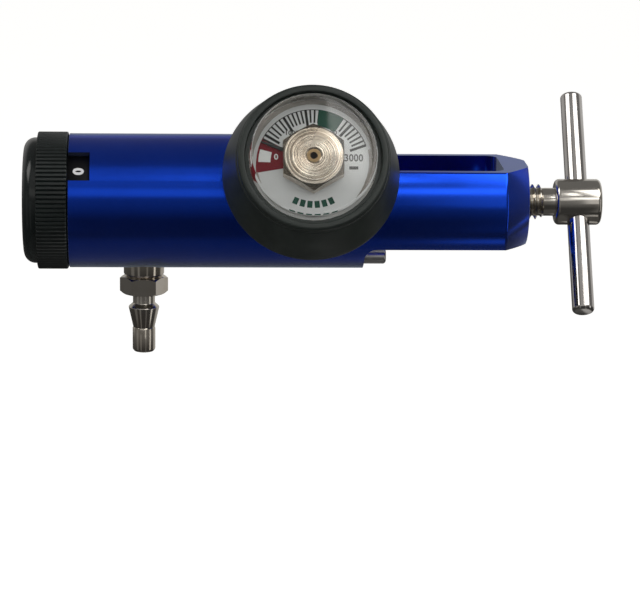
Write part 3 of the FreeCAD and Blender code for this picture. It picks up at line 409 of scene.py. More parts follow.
# each look starts from its base and says only what differs
metalBase = {
    "scratch": (0.8, 0.78, 0.74), "scratches": 0.3, "Roughness": 0.3, "Smears": 0.1,
    "Lines": 4800.0, "Unevenness": 0.4, "bump": 0.2, "depth": 0.00003,
}
plated = {"Roughness": 0.08, "Lines": 5000.0, "Unevenness": 0.5, "bump": 0.08, "depth": 0.00001}
turnedBrass = {"scratch": (0.85, 0.7, 0.4), "Roughness": 0.27, "Smears": 0.12, "Lines": 4200.0}
metals = {
    "anodisedBlue": {
        **plated, "colour": (0.002, 0.062, 0.69), "drift": (0.003, 0.068, 0.74),
        "scratch": (0.03, 0.12, 0.75), "scratches": 0.06, "Roughness": 0.17, "Smears": 0.03,
        "Lines": 5200.0, "Unevenness": 0.4,
        "sockets": {"Coat Weight": 0.2, "Coat Roughness": 0.2, "Sheen Weight": 0.6,
                    "Sheen Roughness": 0.38, "Sheen Tint": (0.75, 0.85, 1.0),
                    "Specular Tint": (0.30, 0.34, 0.42)}},
    "nickel": {
        **plated, "colour": (0.64, 0.61, 0.56), "drift": (0.56, 0.52, 0.46), "Smears": 0.07},
    "outletNickel": {
        **plated, "colour": (0.64, 0.60, 0.54), "drift": (0.55, 0.50, 0.43),
        "Roughness": 0.09, "Smears": 0.08, "bump": 0.10, "frame": outletFrame},
    "barNickel": {
        **plated, "colour": (0.66, 0.64, 0.62), "drift": (0.58, 0.55, 0.53),
        "Smears": 0.06, "Lines": 4200.0, "frame": barFrame},
    "hubBrass": {
        "colour": (0.90, 0.81, 0.70), "drift": (0.70, 0.58, 0.47),
        "dark": (0.34, 0.24, 0.16), "grooves": 0.75,
        "scratch": (0.9, 0.85, 0.78), "scratches": 0.1, "Roughness": 0.20,
        "Lines": 2500.0, "Unevenness": 0.15, "bump": 0.8, "depth": 0.00030, "frame": gaugeFrame},
    "brass": {**turnedBrass, "colour": (0.70, 0.49, 0.22), "drift": (0.60, 0.40, 0.17)},
    "gaugeStemBrass": {
        **turnedBrass, "colour": (0.50, 0.34, 0.18), "drift": (0.38, 0.25, 0.13),
        "frame": gaugeFrame},
    "steel": {
        "colour": (0.56, 0.56, 0.57), "drift": (0.48, 0.48, 0.50),
        "scratch": (0.75, 0.75, 0.75)},
    "caseSteel": {
        "colour": (0.60, 0.58, 0.56), "drift": (0.50, 0.48, 0.46),
        "scratch": (0.75, 0.75, 0.75), "scratches": 0.2, "Roughness": 0.25, "frame": gaugeFrame},
    # a dark grey for the band painted at the dial's edge: painted shade and reflection of the case wall
    # seen through the lens border
    "paintedRimShade": {
        "colour": (0.30, 0.27, 0.25), "drift": (0.20, 0.18, 0.17),
        "scratch": (0.45, 0.43, 0.42), "scratches": 0.2, "frame": gaugeFrame},
    "aluminium": {
        "colour": (0.68, 0.68, 0.70), "drift": (0.6, 0.6, 0.62),
        "scratch": (0.85, 0.85, 0.85), "scratches": 0.2, "Roughness": 0.32, "Lines": 4200.0},
}

mouldedBase = {"Dust": 0.3, "Roughness": 0.42, "Smears": 0.05, "bump": 0.03, "depth": 0.00004}
moulded = {
    "bootRubber": {
        "colour": (0.008, 0.013, 0.011), "dusty": (0.030, 0.040, 0.035),
        "Smears": 0.10, "Scale": 2600.0, "bump": 0.12, "depth": 0.00006,
        "sockets": {"Specular IOR Level": 0.5, "Sheen Weight": 0.03, "Sheen Roughness": 0.5,
                    "Sheen Tint": (0.7, 0.78, 0.74)}},
    "sealRubber": {
        "colour": (0.018, 0.018, 0.018), "dusty": (0.05, 0.05, 0.05),
        "Roughness": 0.55, "Smears": 0.1, "Scale": 3500.0, "bump": 0.1},
    "knobPlastic": {
        "colour": (0.004, 0.007, 0.007), "dusty": (0.019, 0.027, 0.026),
        "Smears": 0.08, "Scale": 3200.0, "bump": 0.12, "depth": 0.00005},
    "capPlastic": {
        "colour": (0.006, 0.009, 0.009), "dusty": (0.025, 0.031, 0.031),
        "Dust": 0.15, "Roughness": 0.13, "Smears": 0.08, "Scale": 1400.0, "depth": 0.00005},
    "dialPlastic": {
        "colour": (0.006, 0.006, 0.007), "dusty": (0.02, 0.02, 0.02),
        "Dust": 0.10, "Roughness": 0.34, "Scale": 1800.0, "sockets": {"Specular IOR Level": 0.12}},
    "slipPlastic": {
        "colour": (0.80, 0.79, 0.75), "dusty": (0.62, 0.60, 0.56),
        "Roughness": 0.45, "Scale": 2500.0, "bump": 0.05},
    "dialWhite": {
        "colour": (0.74, 0.74, 0.75), "dusty": (0.64, 0.64, 0.65),
        "Dust": 0.25, "Roughness": 0.38, "Smears": 0.06, "Scale": 5200.0,
        "bump": 0.04, "depth": 0.00002, "sockets": {"Metallic": 0.15}},
    "pointerBlack": {
        "colour": (0.012, 0.011, 0.011), "dusty": (0.03, 0.03, 0.03),
        "Dust": 0.2, "Scale": 3000.0, "depth": 0.00002},
}

printBase = {"Dust": 0.4, "Roughness": 0.4, "Scale": 5200.0, "bump": 0.02, "depth": 0.00001,
             "sockets": {"Specular IOR Level": 0.12}}
inks = {
    "blackInk": (0.012, 0.012, 0.013), "greyInk": (0.06, 0.06, 0.06), "redInk": (0.21, 0.004, 0.014),
    "greenInk": (0.006, 0.07, 0.045), "whiteInk": (0.94, 0.94, 0.94),
}
for ink, colour in inks.items():
    moulded[ink] = {**printBase, "colour": colour,
                    "dusty": tuple(min(1, part * 1.35 + 0.01) for part in colour)}


def makeLensGlass():
    # clear plastic; only what the camera sees is bent, so the dial and hub are lit plainly
    material, tree, shader = newMaterial("lensClear", {
        "Base Color": (0.97, 0.985, 0.98), "Transmission Weight": 1.0, "Metallic": 0.0, "IOR": 1.47})
    worn = placeGroup(tree, handling, objectPlace(tree), {"Roughness": 0.008, "Smears": 0.03})
    feed(tree, shader, {"Roughness": worn["Roughness"]})
    path = addNode(tree, "ShaderNodeLightPath").outputs
    through = addNode(tree, "ShaderNodeBsdfTransparent", {"Color": (0.95, 0.96, 0.955)})
    plain = path["Is Shadow Ray"]
    for ray in ("Is Diffuse Ray", "Is Glossy Ray"):
        plain = mathNode(tree, "MAXIMUM", plain, path[ray])
    feed(tree, tree.nodes["Material Output"], {
        "Surface": mixShaders(tree, plain, shader.outputs[0], through.outputs[0])})
    return material


finishes = {name: metalFinish(name, {**metalBase, **look}) for name, look in metals.items()}
finishes |= {name: mouldedFinish(name, {**mouldedBase, **look}) for name, look in moulded.items()}
finishes["lensClear"] = makeLensGlass()
print("stage: finishes,", len(finishes))


# modelling helpers; all sizes are in millimetres
def spinProfile(profile, steps):
    # turns (x, radius) points round the x axis
    mesh = bmesh.new()
    points = [mesh.verts.new((x * mm, 0, radius * mm)) for x, radius in profile]
    runs = [mesh.edges.new(pair) for pair in zip(points, points[1:])]
    if profile[0][1] > 0 and profile[-1][1] > 0:
        runs.append(mesh.edges.new((points[-1], points[0])))
    bmesh.ops.spin(mesh, geom=points + runs, cent=(0, 0, 0), axis=(1, 0, 0),
                   angle=math.tau, steps=steps, use_merge=True)
    bmesh.ops.remove_doubles(mesh, verts=mesh.verts, dist=1e-7)
    bmesh.ops.dissolve_degenerate(mesh, edges=mesh.edges, dist=1e-8)
    bmesh.ops.recalc_face_normals(mesh, faces=mesh.faces)
    return mesh


def turnX(degrees):
    return Matrix.Rotation(math.radians(degrees), 4, "X")


def move(mesh, offset, verts=None):
    bmesh.ops.translate(mesh, verts=verts or mesh.verts, vec=offset)


def shift(mesh, matrix):
    bmesh.ops.transform(mesh, matrix=matrix, verts=mesh.verts)
    return mesh


def roundEdges(mesh, edges, width, segments):
    bmesh.ops.bevel(mesh, geom=edges, offset=width * mm, offset_type="OFFSET", segments=segments,
                    profile=0.5, affect="EDGES", material=-1)


def softRing(mesh, x, radius, width, segments=3):
    near = 2e-6      # metres

    def onRing(vert):
        reach = math.hypot(vert.co.y, vert.co.z)
        return abs(vert.co.x - x * mm) < near and abs(reach - radius * mm) < near
    ring = [edge for edge in mesh.edges if all(onRing(vert) for vert in edge.verts)]
    roundEdges(mesh, ring, width, segments)


def turned(values, outline, steps, rings=()):
    # each point of the outline, and each ring of edges to round, names its x and its radius;
    # a ring's width and segments follow
    def sizes(point):
        return [0 if name == "0" else values[name] for name in point.split()]
    mesh = spinProfile([sizes(point) for point in outline.split(",")], steps)
    for point, *rounding in rings:
        softRing(mesh, *sizes(point), *rounding)
    return mesh


def roundBar(start, end, radius, steps):
    return spinProfile([(start, 0), (start, radius), (end, radius), (end, 0)], steps)


def steppedBar(start, radius, step, wide, end):
    # as a cutting tool, a bore with a wider mouth
    return spinProfile([(start, 0), (start, radius), (step, radius), (step, wide), (end, wide),
                        (end, 0)], 64)


def blockShape(low, high):
    # a block between two corners
    mesh = bmesh.new()
    bmesh.ops.create_cube(mesh, size=1)
    size = [(b - a) * mm for a, b in zip(low, high)]
    middle = [(a + b) / 2 * mm for a, b in zip(low, high)]
    bmesh.ops.scale(mesh, verts=mesh.verts, vec=size)
    move(mesh, middle)
    return mesh


def softUprights(mesh, axis, picked, width, segments=8):
    # rounds the block edges that run along one axis and pass the test
    edges = []
    for edge in mesh.edges:
        run = (edge.verts[1].co - edge.verts[0].co).normalized()
        middle = (edge.verts[0].co + edge.verts[1].co) / 2
        if abs(run[axis]) > 0.99 and picked(middle):
            edges.append(edge)
    roundEdges(mesh, edges, width, segments)


def thicken(mesh, offset):
    # gives flat faces a body by drawing a copy of them out to the offset
    grown = bmesh.ops.extrude_face_region(mesh, geom=mesh.faces)
    moved = [part for part in grown["geom"] if isinstance(part, bmesh.types.BMVert)]
    move(mesh, offset, moved)
    bmesh.ops.recalc_face_normals(mesh, faces=mesh.faces)
    return mesh


def joinAll(meshes):
    whole = bmesh.new()
    for mesh in meshes:
        data = bpy.data.meshes.new("part")
        mesh.to_mesh(data)
        mesh.free()
        whole.from_mesh(data)
        bpy.data.meshes.remove(data)
    return whole


def hexCutter(across, start, end):
    # a thick ring whose hole is a hexagon about the x axis
    mesh = bmesh.new()
    lie = Matrix.Rotation(math.pi / 2, 4, "Y")
    for width in (across, across + 8):      # the hole, then the ring's own rim
        bmesh.ops.create_circle(mesh, segments=6, radius=width / math.sqrt(3) * mm, matrix=lie)
    bmesh.ops.bridge_loops(mesh, edges=mesh.edges)
    shift(mesh, Matrix.Translation((start * mm, 0, 0)) @ turnX(30))
    return thicken(mesh, ((end - start) * mm, 0, 0))


def cutFrom(piece, mesh, matrix=None):
    tool = makeObject("cuttingTool", mesh, matrix)
    cut = piece.modifiers.new("cut", "BOOLEAN")
    cut.operation = "DIFFERENCE"
    cut.solver = "EXACT"
    cut.object = tool
    graph = bpy.context.evaluated_depsgraph_get()
    shaped = bpy.data.meshes.new_from_object(piece.evaluated_get(graph))
    piece.modifiers.clear()
    before = piece.data
    piece.data = shaped
    bpy.data.meshes.remove(before)
    bpy.data.objects.remove(tool)


def finishPiece(piece, finish, body, slot, replaced=(), sharpAngle=32):
    data = piece.data
    data.name = piece.name
    data.materials.clear()
    data.materials.append(finishes[finish])
    data.shade_smooth()
    data.set_sharp_from_angle(angle=math.radians(sharpAngle))
    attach(piece, body)
    if replaced:
        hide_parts(*replaced)


def addPiece(name, mesh, matrix, *looks, **more):
    finishPiece(makeObject(name, mesh, matrix), *looks, **more)


# barrel and yoke
barrel = {
    "radius": 17.3, "left": -75.7, "yokeEnd": 42.4, "edge": 0.18,
    "recess": 15.4, "recessEnd": -69.2, "chamber": 12.4, "chamberEnd": -50.5,
    "bore": 11.8, "boreEnd": -27.5, "stemBore": 3.05, "stemBoreEnd": -18,
    "nozzleBore": 1.2, "nozzleSeat": 4.04, "nozzleEnd": -9, "screwBore": 4.65,
    "coneStart": 36.0, "coneRadius": 11.2,
    "flatHeight": 10.1, "flatCorner": 3.0,
    "break": {"start": 3.1, "size": 3, "width": 0.35, "slope": 27},   # along the flats' edges
    "slotLength": 35.7, "slotWidth": 23.0, "slotCorner": 3.0,
    "windowLength": 5.5, "windowWidth": 8.4, "windowAngle": 41.4, "windowFloor": 14,
    # stepped holes: floor, radius, step and wider radius, out from the axis
    "outletHole": (11, 3.64, 15.6, 5.9), "gaugeHole": (8, 3.24, 16.3, 6.2),
    "vent": (10.8, 0.8), "pinHole": (-5, 2.0), "outside": 19,
}


def makeBarrel():
    b = barrel
    radius, left, end, outside = b["radius"], b["left"], b["yokeEnd"], b["outside"]
    piece = makeObject("barrelShell", turned(
        b, "left recess, left radius, coneStart radius, yokeEnd coneRadius, yokeEnd screwBore,"
        "0 screwBore, 0 nozzleSeat, nozzleEnd nozzleSeat, nozzleEnd nozzleBore,"
        "stemBoreEnd nozzleBore, stemBoreEnd stemBore, boreEnd stemBore, boreEnd bore,"
        "chamberEnd bore, chamberEnd chamber, recessEnd chamber, recessEnd recess", 192, [
            ("left radius", b["edge"]), ("left recess", 0.12, 2), ("coneStart radius", 0.5, 4),
            ("yokeEnd coneRadius", 0.35), ("yokeEnd screwBore", 0.3, 2)]))
    height, reach = b["flatHeight"], radius + 2
    edgeY = math.sqrt(radius ** 2 - height ** 2) - b["break"]["width"] / 2
    size = b["break"]["size"]
    for side in (1, -1):
        low, high = sorted((side * height, side * reach))
        mill = blockShape((0, -reach, low), (end + 2, reach, high))
        softUprights(mill, 1, lambda middle: middle.x < 1e-4 and abs(middle.z) < (height + 1) * mm,
                     b["flatCorner"])
        cutFrom(piece, mill)
        # a narrow break along each long edge of the flat
        for front in (1, -1):
            tool = blockShape((b["break"]["start"], -size, 0), (end + 2, size, size))
            turn = (0 if side > 0 else 180) - b["break"]["slope"] * front * side
            spot = Matrix.Translation(Vector((0, front * edgeY, side * height)) * mm)
            cutFrom(piece, tool, spot @ turnX(turn))
    half = b["slotWidth"] / 2
    slot = blockShape((0, -half, -reach), (b["slotLength"], half, reach))
    softUprights(slot, 2, lambda middle: middle.x > 1e-4, b["slotCorner"])
    cutFrom(piece, slot)
    half = b["windowWidth"] / 2
    window = blockShape((left - 1, -half, b["windowFloor"]), (left + b["windowLength"], half, reach))
    cutFrom(piece, window, turnX(90 - b["windowAngle"]))
    cutFrom(piece, steppedBar(*b["outletHole"], outside), outletFrame)
    cutFrom(piece, steppedBar(*b["gaugeHole"], outside), gaugeFrame)
    pinFloor, pinRadius = b["pinHole"]
    for side in (-1, 1):
        cutFrom(piece, roundBar(pinFloor, 1, pinRadius, 32), pinFrame(side))
    ventFloor, ventRadius = b["vent"]
    cutFrom(piece, roundBar(ventFloor, outside, ventRadius, 24), ventFrame)
    finishPiece(piece, "anodisedBlue", "barrel", "anodised_blue", ["regulator_body"])


# the oxygen position of the standard pin layout
pins = {"circle": 14.29, "angle": 18, "radius": 1.98, "face": 1.48, "start": -5, "startRise": -4.5,
        "endRise": 5.5, "end": 6.0}


def pinFrame(side):
    angle = math.radians(pins["angle"])
    seat = (0, side * pins["circle"] * math.sin(angle), -pins["circle"] * math.cos(angle))
    return ownFrame(seat, (1, 0, 0), (0, 1, 0))


makeBarrel()
print("stage: barrel and yoke")


# flow selector
selector = {
    "left": -83.85, "right": -75.95, "radius": 17.7, "ribs": 96, "ribDepth": 0.42,
    # the broken edges of the rim: on the face, at the corner, on the rim
    "leftFace": 17.1, "leftCut": -83.73, "leftCutRadius": 17.58, "leftRim": -83.45,
    "rightFace": 17.2, "rightCut": -76.09, "rightCutRadius": 17.56, "rightRim": -76.35,
    "capSeat": 15.45, "skirt": 12.9, "skirtInner": 11.0, "skirtEnd": -70.2,
    "webLeft": -80.55, "webRight": -77.35, "hub": 6.0, "hubEnd": -71.95, "square": 4.44,
}


def makeKnob():
    k = selector
    steps = k["ribs"] * 4
    mesh = turned(
        k, "hubEnd 0, hubEnd hub, webRight hub, webRight skirtInner, skirtEnd skirtInner,"
        "skirtEnd skirt, right skirt, right rightFace, rightCut rightCutRadius, rightRim radius,"
        "leftRim radius, leftCut leftCutRadius, left leftFace, left capSeat, webLeft capSeat,"
        "webLeft 0", steps)
    valley = (k["radius"] - k["ribDepth"]) * mm
    for vert in mesh.verts:
        reach = math.hypot(vert.co.y, vert.co.z)
        column = round(math.atan2(vert.co.y, vert.co.z) / math.tau * steps)
        if column % 4 == 0 and reach > valley:
            vert.co.yz *= valley / reach
    piece = makeObject("selectorRing", mesh)
    half = k["square"] / 2
    cutFrom(piece, blockShape((k["webLeft"] - 1, -half, -half), (k["hubEnd"] + 1, half, half)))
    finishPiece(piece, "knobPlastic", "selector", "knob_plastic", ["selector_knob"], sharpAngle=24)


cap = {
    "tip": -87.68, "middle": 6, "middleAt": -87.62, "outer": 11, "outerAt": -87.48,
    "rim": -87.28, "radius": 16.2, "edge": 2.8, "seat": -83.85, "plug": 15.4, "plugEnd": -80.55,
    "hollow": 13.8, "floor": -85.68,
}


def makeCap():
    mesh = turned(
        cap, "tip 0, middleAt middle, outerAt outer, rim radius, seat radius, seat plug,"
        "plugEnd plug, plugEnd hollow, floor hollow, floor 0", 160, [("rim radius", cap["edge"], 10)])
    addPiece("selectorCap", mesh, None, "capPlastic", "selector", "cap_plastic", ["knob_cap"])


sleeve = {"left": -75.95, "right": -69.5, "inner": 12.94, "radius": 15.1}


def makeFlowDial():
    mesh = turned(sleeve, "left inner, left radius, right radius, right inner", 160,
                  [("left radius", 0.1, 2), ("right radius", 0.1, 2)])
    addPiece("flowSleeve", mesh, None, "dialPlastic", "selector", "dial_plastic", ["flow_dial"])


flowNumbers = {
    "values": ["0", "0.5", "1", "1.5", "2", "2.5", "3", "4", "6", "8", "10", "15"],
    "firstAngle": 39.6, "step": 30, "middleX": -73.1, "height": 2.85, "narrow": 0.95,
    "bold": 0.20, "widest": 5.4, "longEdge": 0.8, "skin": 0.04, "sunk": 0.01,
}


def textMesh(words, height, boldness, spacing=1.0):
    # plain numerals as flat faces in real millimetres, centred on the origin
    curve = bpy.data.curves.new("numerals", "FONT")
    curve.body = words
    curve.size = height * 1.38         # a numeral is that much lower than its type size
    curve.align_x = curve.align_y = "CENTER"
    curve.offset = boldness
    curve.space_character = spacing
    curve.resolution_u = 6
    writer = bpy.data.objects.new("numerals", curve)
    scene.collection.objects.link(writer)
    graph = bpy.context.evaluated_depsgraph_get()
    data = bpy.data.meshes.new_from_object(writer.evaluated_get(graph))
    bpy.data.objects.remove(writer)
    mesh = bmesh.new()
    mesh.from_mesh(data)
    bpy.data.meshes.remove(data)
    bmesh.ops.remove_doubles(mesh, verts=mesh.verts, dist=1e-4)
    tall = [vert.co.y for vert in mesh.verts]
    move(mesh, (0, -(max(tall) + min(tall)) / 2, 0))
    bmesh.ops.scale(mesh, verts=mesh.verts, vec=(1, height / (max(tall) - min(tall)), 1))
    return mesh


def makeFlowNumbers():
    n = flowNumbers
    radius = sleeve["radius"]
    numerals = []
    for index, words in enumerate(n["values"]):
        mesh = textMesh(words, n["height"], n["bold"])
        width = max(vert.co.x for vert in mesh.verts) * 2 * n["narrow"]
        squeeze = n["narrow"] * min(1.0, n["widest"] / width)
        bmesh.ops.scale(mesh, verts=mesh.verts, vec=(squeeze, 1, 1))
        bmesh.ops.triangulate(mesh, faces=mesh.faces)
        long = [edge for edge in mesh.edges if edge.calc_length() > n["longEdge"]]
        bmesh.ops.subdivide_edges(mesh, edges=long, cuts=2)
        bmesh.ops.triangulate(mesh, faces=mesh.faces)
        thicken(mesh, (0, 0, n["skin"]))
        start = math.radians(n["firstAngle"] + n["step"] * index)
        for vert in mesh.verts:
            # wrapped on the sleeve: up the numeral is +X, its reading way goes down in front
            reach = radius - n["sunk"] + vert.co.z
            angle = start - vert.co.x / radius
            vert.co = Vector((n["middleX"] + vert.co.y, -reach * math.cos(angle),
                              reach * math.sin(angle))) * mm
        numerals.append(mesh)
    whole = joinAll(numerals)
    bmesh.ops.recalc_face_normals(whole, faces=whole.faces)
    addPiece("flowNumbers", whole, None, "whiteInk", "selector", "dial_plastic")


makeKnob()
makeCap()
makeFlowDial()
makeFlowNumbers()
print("stage: flow selector")


# outlet
outlet = {
    "start": 12.9, "thread": 3.6, "threadEnd": 16.9, "step": 4.95, "stepStart": 16.0,
    "collar": 5.25, "collarEnd": 19.1, "waist": 4.65, "waistEnd": 19.6,
    "hexStart": 19.9, "hexRise": 20.4, "hexFall": 23.8, "hexEnd": 24.3, "hexFlat": 5.425,
    "hexCorner": 10.85 / math.sqrt(3),
    "neck": 2.88, "neckEnd": 27.0, "flare": 4.02, "flareAt": 28.0,
    "taper": 2.8, "taperEnd": 33.4, "tube": 2.97, "tubeStart": 33.7, "tubeEnd": 39.3,
    "mouth": 2.47, "tip": 39.9, "bore": 1.6,
}


def makeOutlet():
    o = outlet
    mesh = turned(
        o, "start bore, start thread, threadEnd thread, threadEnd step, stepStart step,"
        "stepStart collar, collarEnd collar, waistEnd waist, hexStart hexFlat, hexRise hexCorner,"
        "hexFall hexCorner, hexEnd hexFlat, hexEnd neck, neckEnd neck, flareAt flare,"
        "taperEnd taper, tubeStart tube, tubeEnd tube, tip mouth, tip bore", 96, [
            ("collarEnd collar", 0.15), ("flareAt flare", 0.2, 4), ("neckEnd neck", 0.2),
            ("tubeEnd tube", 0.2), ("tip mouth", 0.15)])
    piece = makeObject("outletFitting", mesh, outletFrame)
    cutFrom(piece, hexCutter(2 * o["hexFlat"], o["hexStart"] - 0.1, o["hexEnd"] + 0.1), outletFrame)
    finishPiece(piece, "outletNickel", "barrel", "nickel", ["outlet_fitting"])


makeOutlet()
print("stage: outlet")


# contents gauge
gauge = {
    "caseBack": 23.3, "caseRise": 24.3, "caseRim": 36.6, "caseFloor": 24.5, "caseRadius": 16.7,
    "caseBackRadius": 15.7, "caseInner": 15.95, "ledge": 14.6, "stemHole": 3.92,
    "dialBack": 31.6, "dialFace": 32.0, "dialRadius": 15.85, "dialHole": 4.0,
}
boot = {
    "back": 22.6, "backRadius": 22.3, "rimEnd": 24.5, "lipBack": 36.8, "frontRadius": 19.2,
    "front": 38.5, "lip": 18.9, "mouth": 17.0, "holdEnd": 37.1, "holdStart": 36.65,
    "holdOuter": 16.9, "hold": 15.98, "inner": 16.8, "floor": 23.3, "neck": 7.4,
}


def makeBoot():
    mesh = turned(
        boot, "back neck, back backRadius, rimEnd backRadius, lipBack frontRadius, lipBack lip,"
        "front lip, front mouth, holdEnd holdOuter, holdEnd hold, holdStart hold, holdStart inner,"
        "floor inner, floor neck", 160, [
            ("back backRadius", 0.8, 6), ("rimEnd backRadius", 0.5, 4),
            ("lipBack frontRadius", 0.25, 4), ("front lip", 0.8, 6), ("front mouth", 0.3, 4)])
    addPiece("gaugeBoot", mesh, gaugeFrame, "bootRubber", "barrel", "boot_rubber",
             ["gauge_boot"], sharpAngle=40)


def makeCase():
    mesh = turned(
        gauge, "caseBack stemHole, caseBack caseBackRadius, caseRise caseRadius, caseRim caseRadius,"
        "caseRim caseInner, dialBack caseInner, dialBack ledge, caseFloor ledge, caseFloor stemHole",
        160, [("caseRim caseRadius", 0.2), ("caseRim caseInner", 0.2)])
    addPiece("gaugeCase", mesh, gaugeFrame, "caseSteel", "barrel", "steel", ["gauge_case"])


def makeDialPlate():
    mesh = turned(
        gauge, "dialBack dialHole, dialBack dialRadius, dialFace dialRadius, dialFace dialHole", 160,
        [("dialFace dialRadius", 0.08, 2)])
    addPiece("dialPlate", mesh, gaugeFrame, "dialWhite", "barrel", "dial_white", ["gauge_dial"])


hub = {"back": 33.1, "front": 39.0, "across": 15.0, "corner": 15.0 / math.sqrt(3), "cornerEnd": 36.7,
       "rimAt": 38.65, "rim": 7.3, "face": 5.55, "bore": 1.74, "mouth": 2.09, "mouthEnd": 38.7}


def makeHub():
    h = hub
    mesh = turned(
        h, "back bore, back corner, cornerEnd corner, rimAt rim, front face, front mouth, mouthEnd bore",
        128, [("rimAt rim", 0.12), ("front face", 0.5, 4)])
    piece = makeObject("gaugeHub", mesh, gaugeFrame)
    cutFrom(piece, hexCutter(h["across"], h["back"] - 0.2, h["front"] + 0.2), gaugeFrame)
    finishPiece(piece, "hubBrass", "barrel", "gauge_brass", ["gauge_hub"])


pointer = {"back": 32.4, "front": 32.8, "hole": 3.95, "ring": 5.6, "angle": 159.7,
           "start": 5.0, "reach": 13.7, "width": 1.1, "tipWidth": 0.5, "edge": 0.06}


def makePointer():
    p = pointer
    half = p["width"] / 2
    ring = turned(p, "back hole, back ring, front ring, front hole", 96, [("front ring", 0.08, 2)])
    # the needle tapers to its tip; its own y runs outwards
    needle = blockShape((p["back"], p["start"], -half), (p["front"], p["reach"], half))
    for vert in needle.verts:
        if vert.co.y > (p["start"] + p["reach"]) / 2 * mm:
            vert.co.z *= p["tipWidth"] / p["width"]
    roundEdges(needle, needle.edges, p["edge"], 2)
    addPiece("pointerNeedle", joinAll([ring, needle]), gaugeFrame @ turnX(p["angle"]), "pointerBlack",
             "pointer", "pointer_black", ["gauge_pointer"])


lens = {"back": 32.04, "radius": 15.9, "inner": 14.5, "shoulder": 37.6, "front": 40.9,
        "rimAt": 40.8, "rim": 15.75, "face": 14.3, "ceiling": 39.4}


def makeLens():
    mesh = turned(
        lens, "back inner, back radius, shoulder radius, rimAt rim, front face, front 0, ceiling 0,"
        "ceiling inner", 160,
        [("shoulder radius", 0.2), ("rimAt rim", 0.6, 7), ("ceiling inner", 0.2)])
    addPiece("gaugeLens", mesh, gaugeFrame, "lensClear", "barrel", "clear", ["gauge_lens"],
             sharpAngle=50)


# the dial's print, and a painted shade band at its edge. Sectors: inner and outer radius, first and last
# angle, which turn left from the right-hand side. Words: height, then the place across and up, then how
# narrow
dialPrint = {
    "outer": 13.9, "arc": (13.78, 13.98, 20, 152),
    "marks": (173.7, 148.0, 121.4, 97.3, 73.5, 46.5, 20.0), "parts": 5,   # one mark for each 500
    "firstTick": 4,          # the red field covers those before it
    "major": (9.7, 0.66), "minor": (10.5, 0.45),     # inner radius and width
    "green": (9.7, 14.0, 56.7, 83.6), "red": (7.0, 14.0, 152.0, 190.0),
    "patch": (10.5, 13.5, 164.5, 178.5),
    # the edge bands, wider at the bottom, are not print: painted shade and reflection of the case wall
    # seen through the lens border
    "shadeRims": ((14.6, 15.8, 12, 192), (13.8, 15.8, 192, 372)),
    "blocks": {"count": 6, "radius": 10.5, "step": 9.8, "half": (0.63, 0.88)},
    "dash": ((8.9, 11.1), (-1.5, -0.7)),
    "zero": ("0", 1.5, -9.1, 1.7),
    "numbers": (("3000", 1.9, 10.0, 1.5, 0.86), ("1000", 1.2, -5.2, 7.9), ("2000", 1.2, 4.2, 8.0)),
    "skin": 0.02, "tickSkin": 0.025, "patchLift": 0.02, "greenLift": 0.03, "textLift": 0.01,
    "bold": 0.05, "spacing": 1.06,
    "drop": 0.7,             # the sheet is printed a little low
}


def ringSector(inner, outer, start, end, lift=0.0, steps=24):
    # a flat sector of a ring on the dial
    mesh = bmesh.new()
    level = (gauge["dialFace"] + lift) * mm
    ends = [mesh.verts.new((level, radius * mm, 0)) for radius in (inner, outer)]
    side = mesh.edges.new(ends)
    shift(mesh, turnX(start))
    bmesh.ops.spin(mesh, geom=ends + [side], cent=(0, 0, 0), axis=(1, 0, 0),
                   angle=math.radians(end - start), steps=steps)
    return thicken(mesh, (dialPrint["skin"] * mm, 0, 0))


def dialBlock(across, up, skin):
    face = gauge["dialFace"]
    return blockShape((face, across[0], up[0]), (face + skin, across[1], up[1]))


def tickMark(angle, inner, width):
    mark = dialBlock((inner, dialPrint["outer"]), (-width / 2, width / 2), dialPrint["tickSkin"])
    return shift(mark, turnX(angle))


def dialText(words, height, across, up, narrow=1.0):
    p = dialPrint
    mesh = thicken(textMesh(words, height, p["bold"], p["spacing"]), (0, 0, p["skin"]))
    lie = Matrix(((0, 0, 1, 0), (1, 0, 0, 0), (0, 1, 0, 0), (0, 0, 0, 1)))
    spot = Matrix.Translation((gauge["dialFace"] + p["textLift"], across, up)) @ lie
    return shift(mesh, Matrix.Scale(mm, 4) @ spot @ Matrix.Diagonal((narrow, 1, 1, 1)))


def makeTicks():
    p = dialPrint
    marks = p["marks"]
    ticks = [ringSector(*p["arc"], steps=64)]
    for index in range(p["firstTick"], p["parts"] * (len(marks) - 1)):
        mark, step = divmod(index, p["parts"])
        angle = marks[mark] + (marks[mark + 1] - marks[mark]) * step / p["parts"]
        ticks.append(tickMark(angle, *p["minor" if step else "major"]))
    return ticks + [tickMark(marks[-1], *p["major"])]


def makeBlocks():
    # plain blocks in an arc under the hub
    row = dialPrint["blocks"]
    reach, (halfWidth, halfHeight) = row["radius"] * mm, row["half"]
    blocks = []
    for index in range(row["count"]):
        turn = (index - (row["count"] - 1) / 2) * row["step"]
        block = dialBlock((-halfWidth, halfWidth), (-halfHeight, halfHeight), dialPrint["skin"])
        blocks.append(shift(block, turnX(turn) @ Matrix.Translation((0, 0, -reach))))
    return blocks


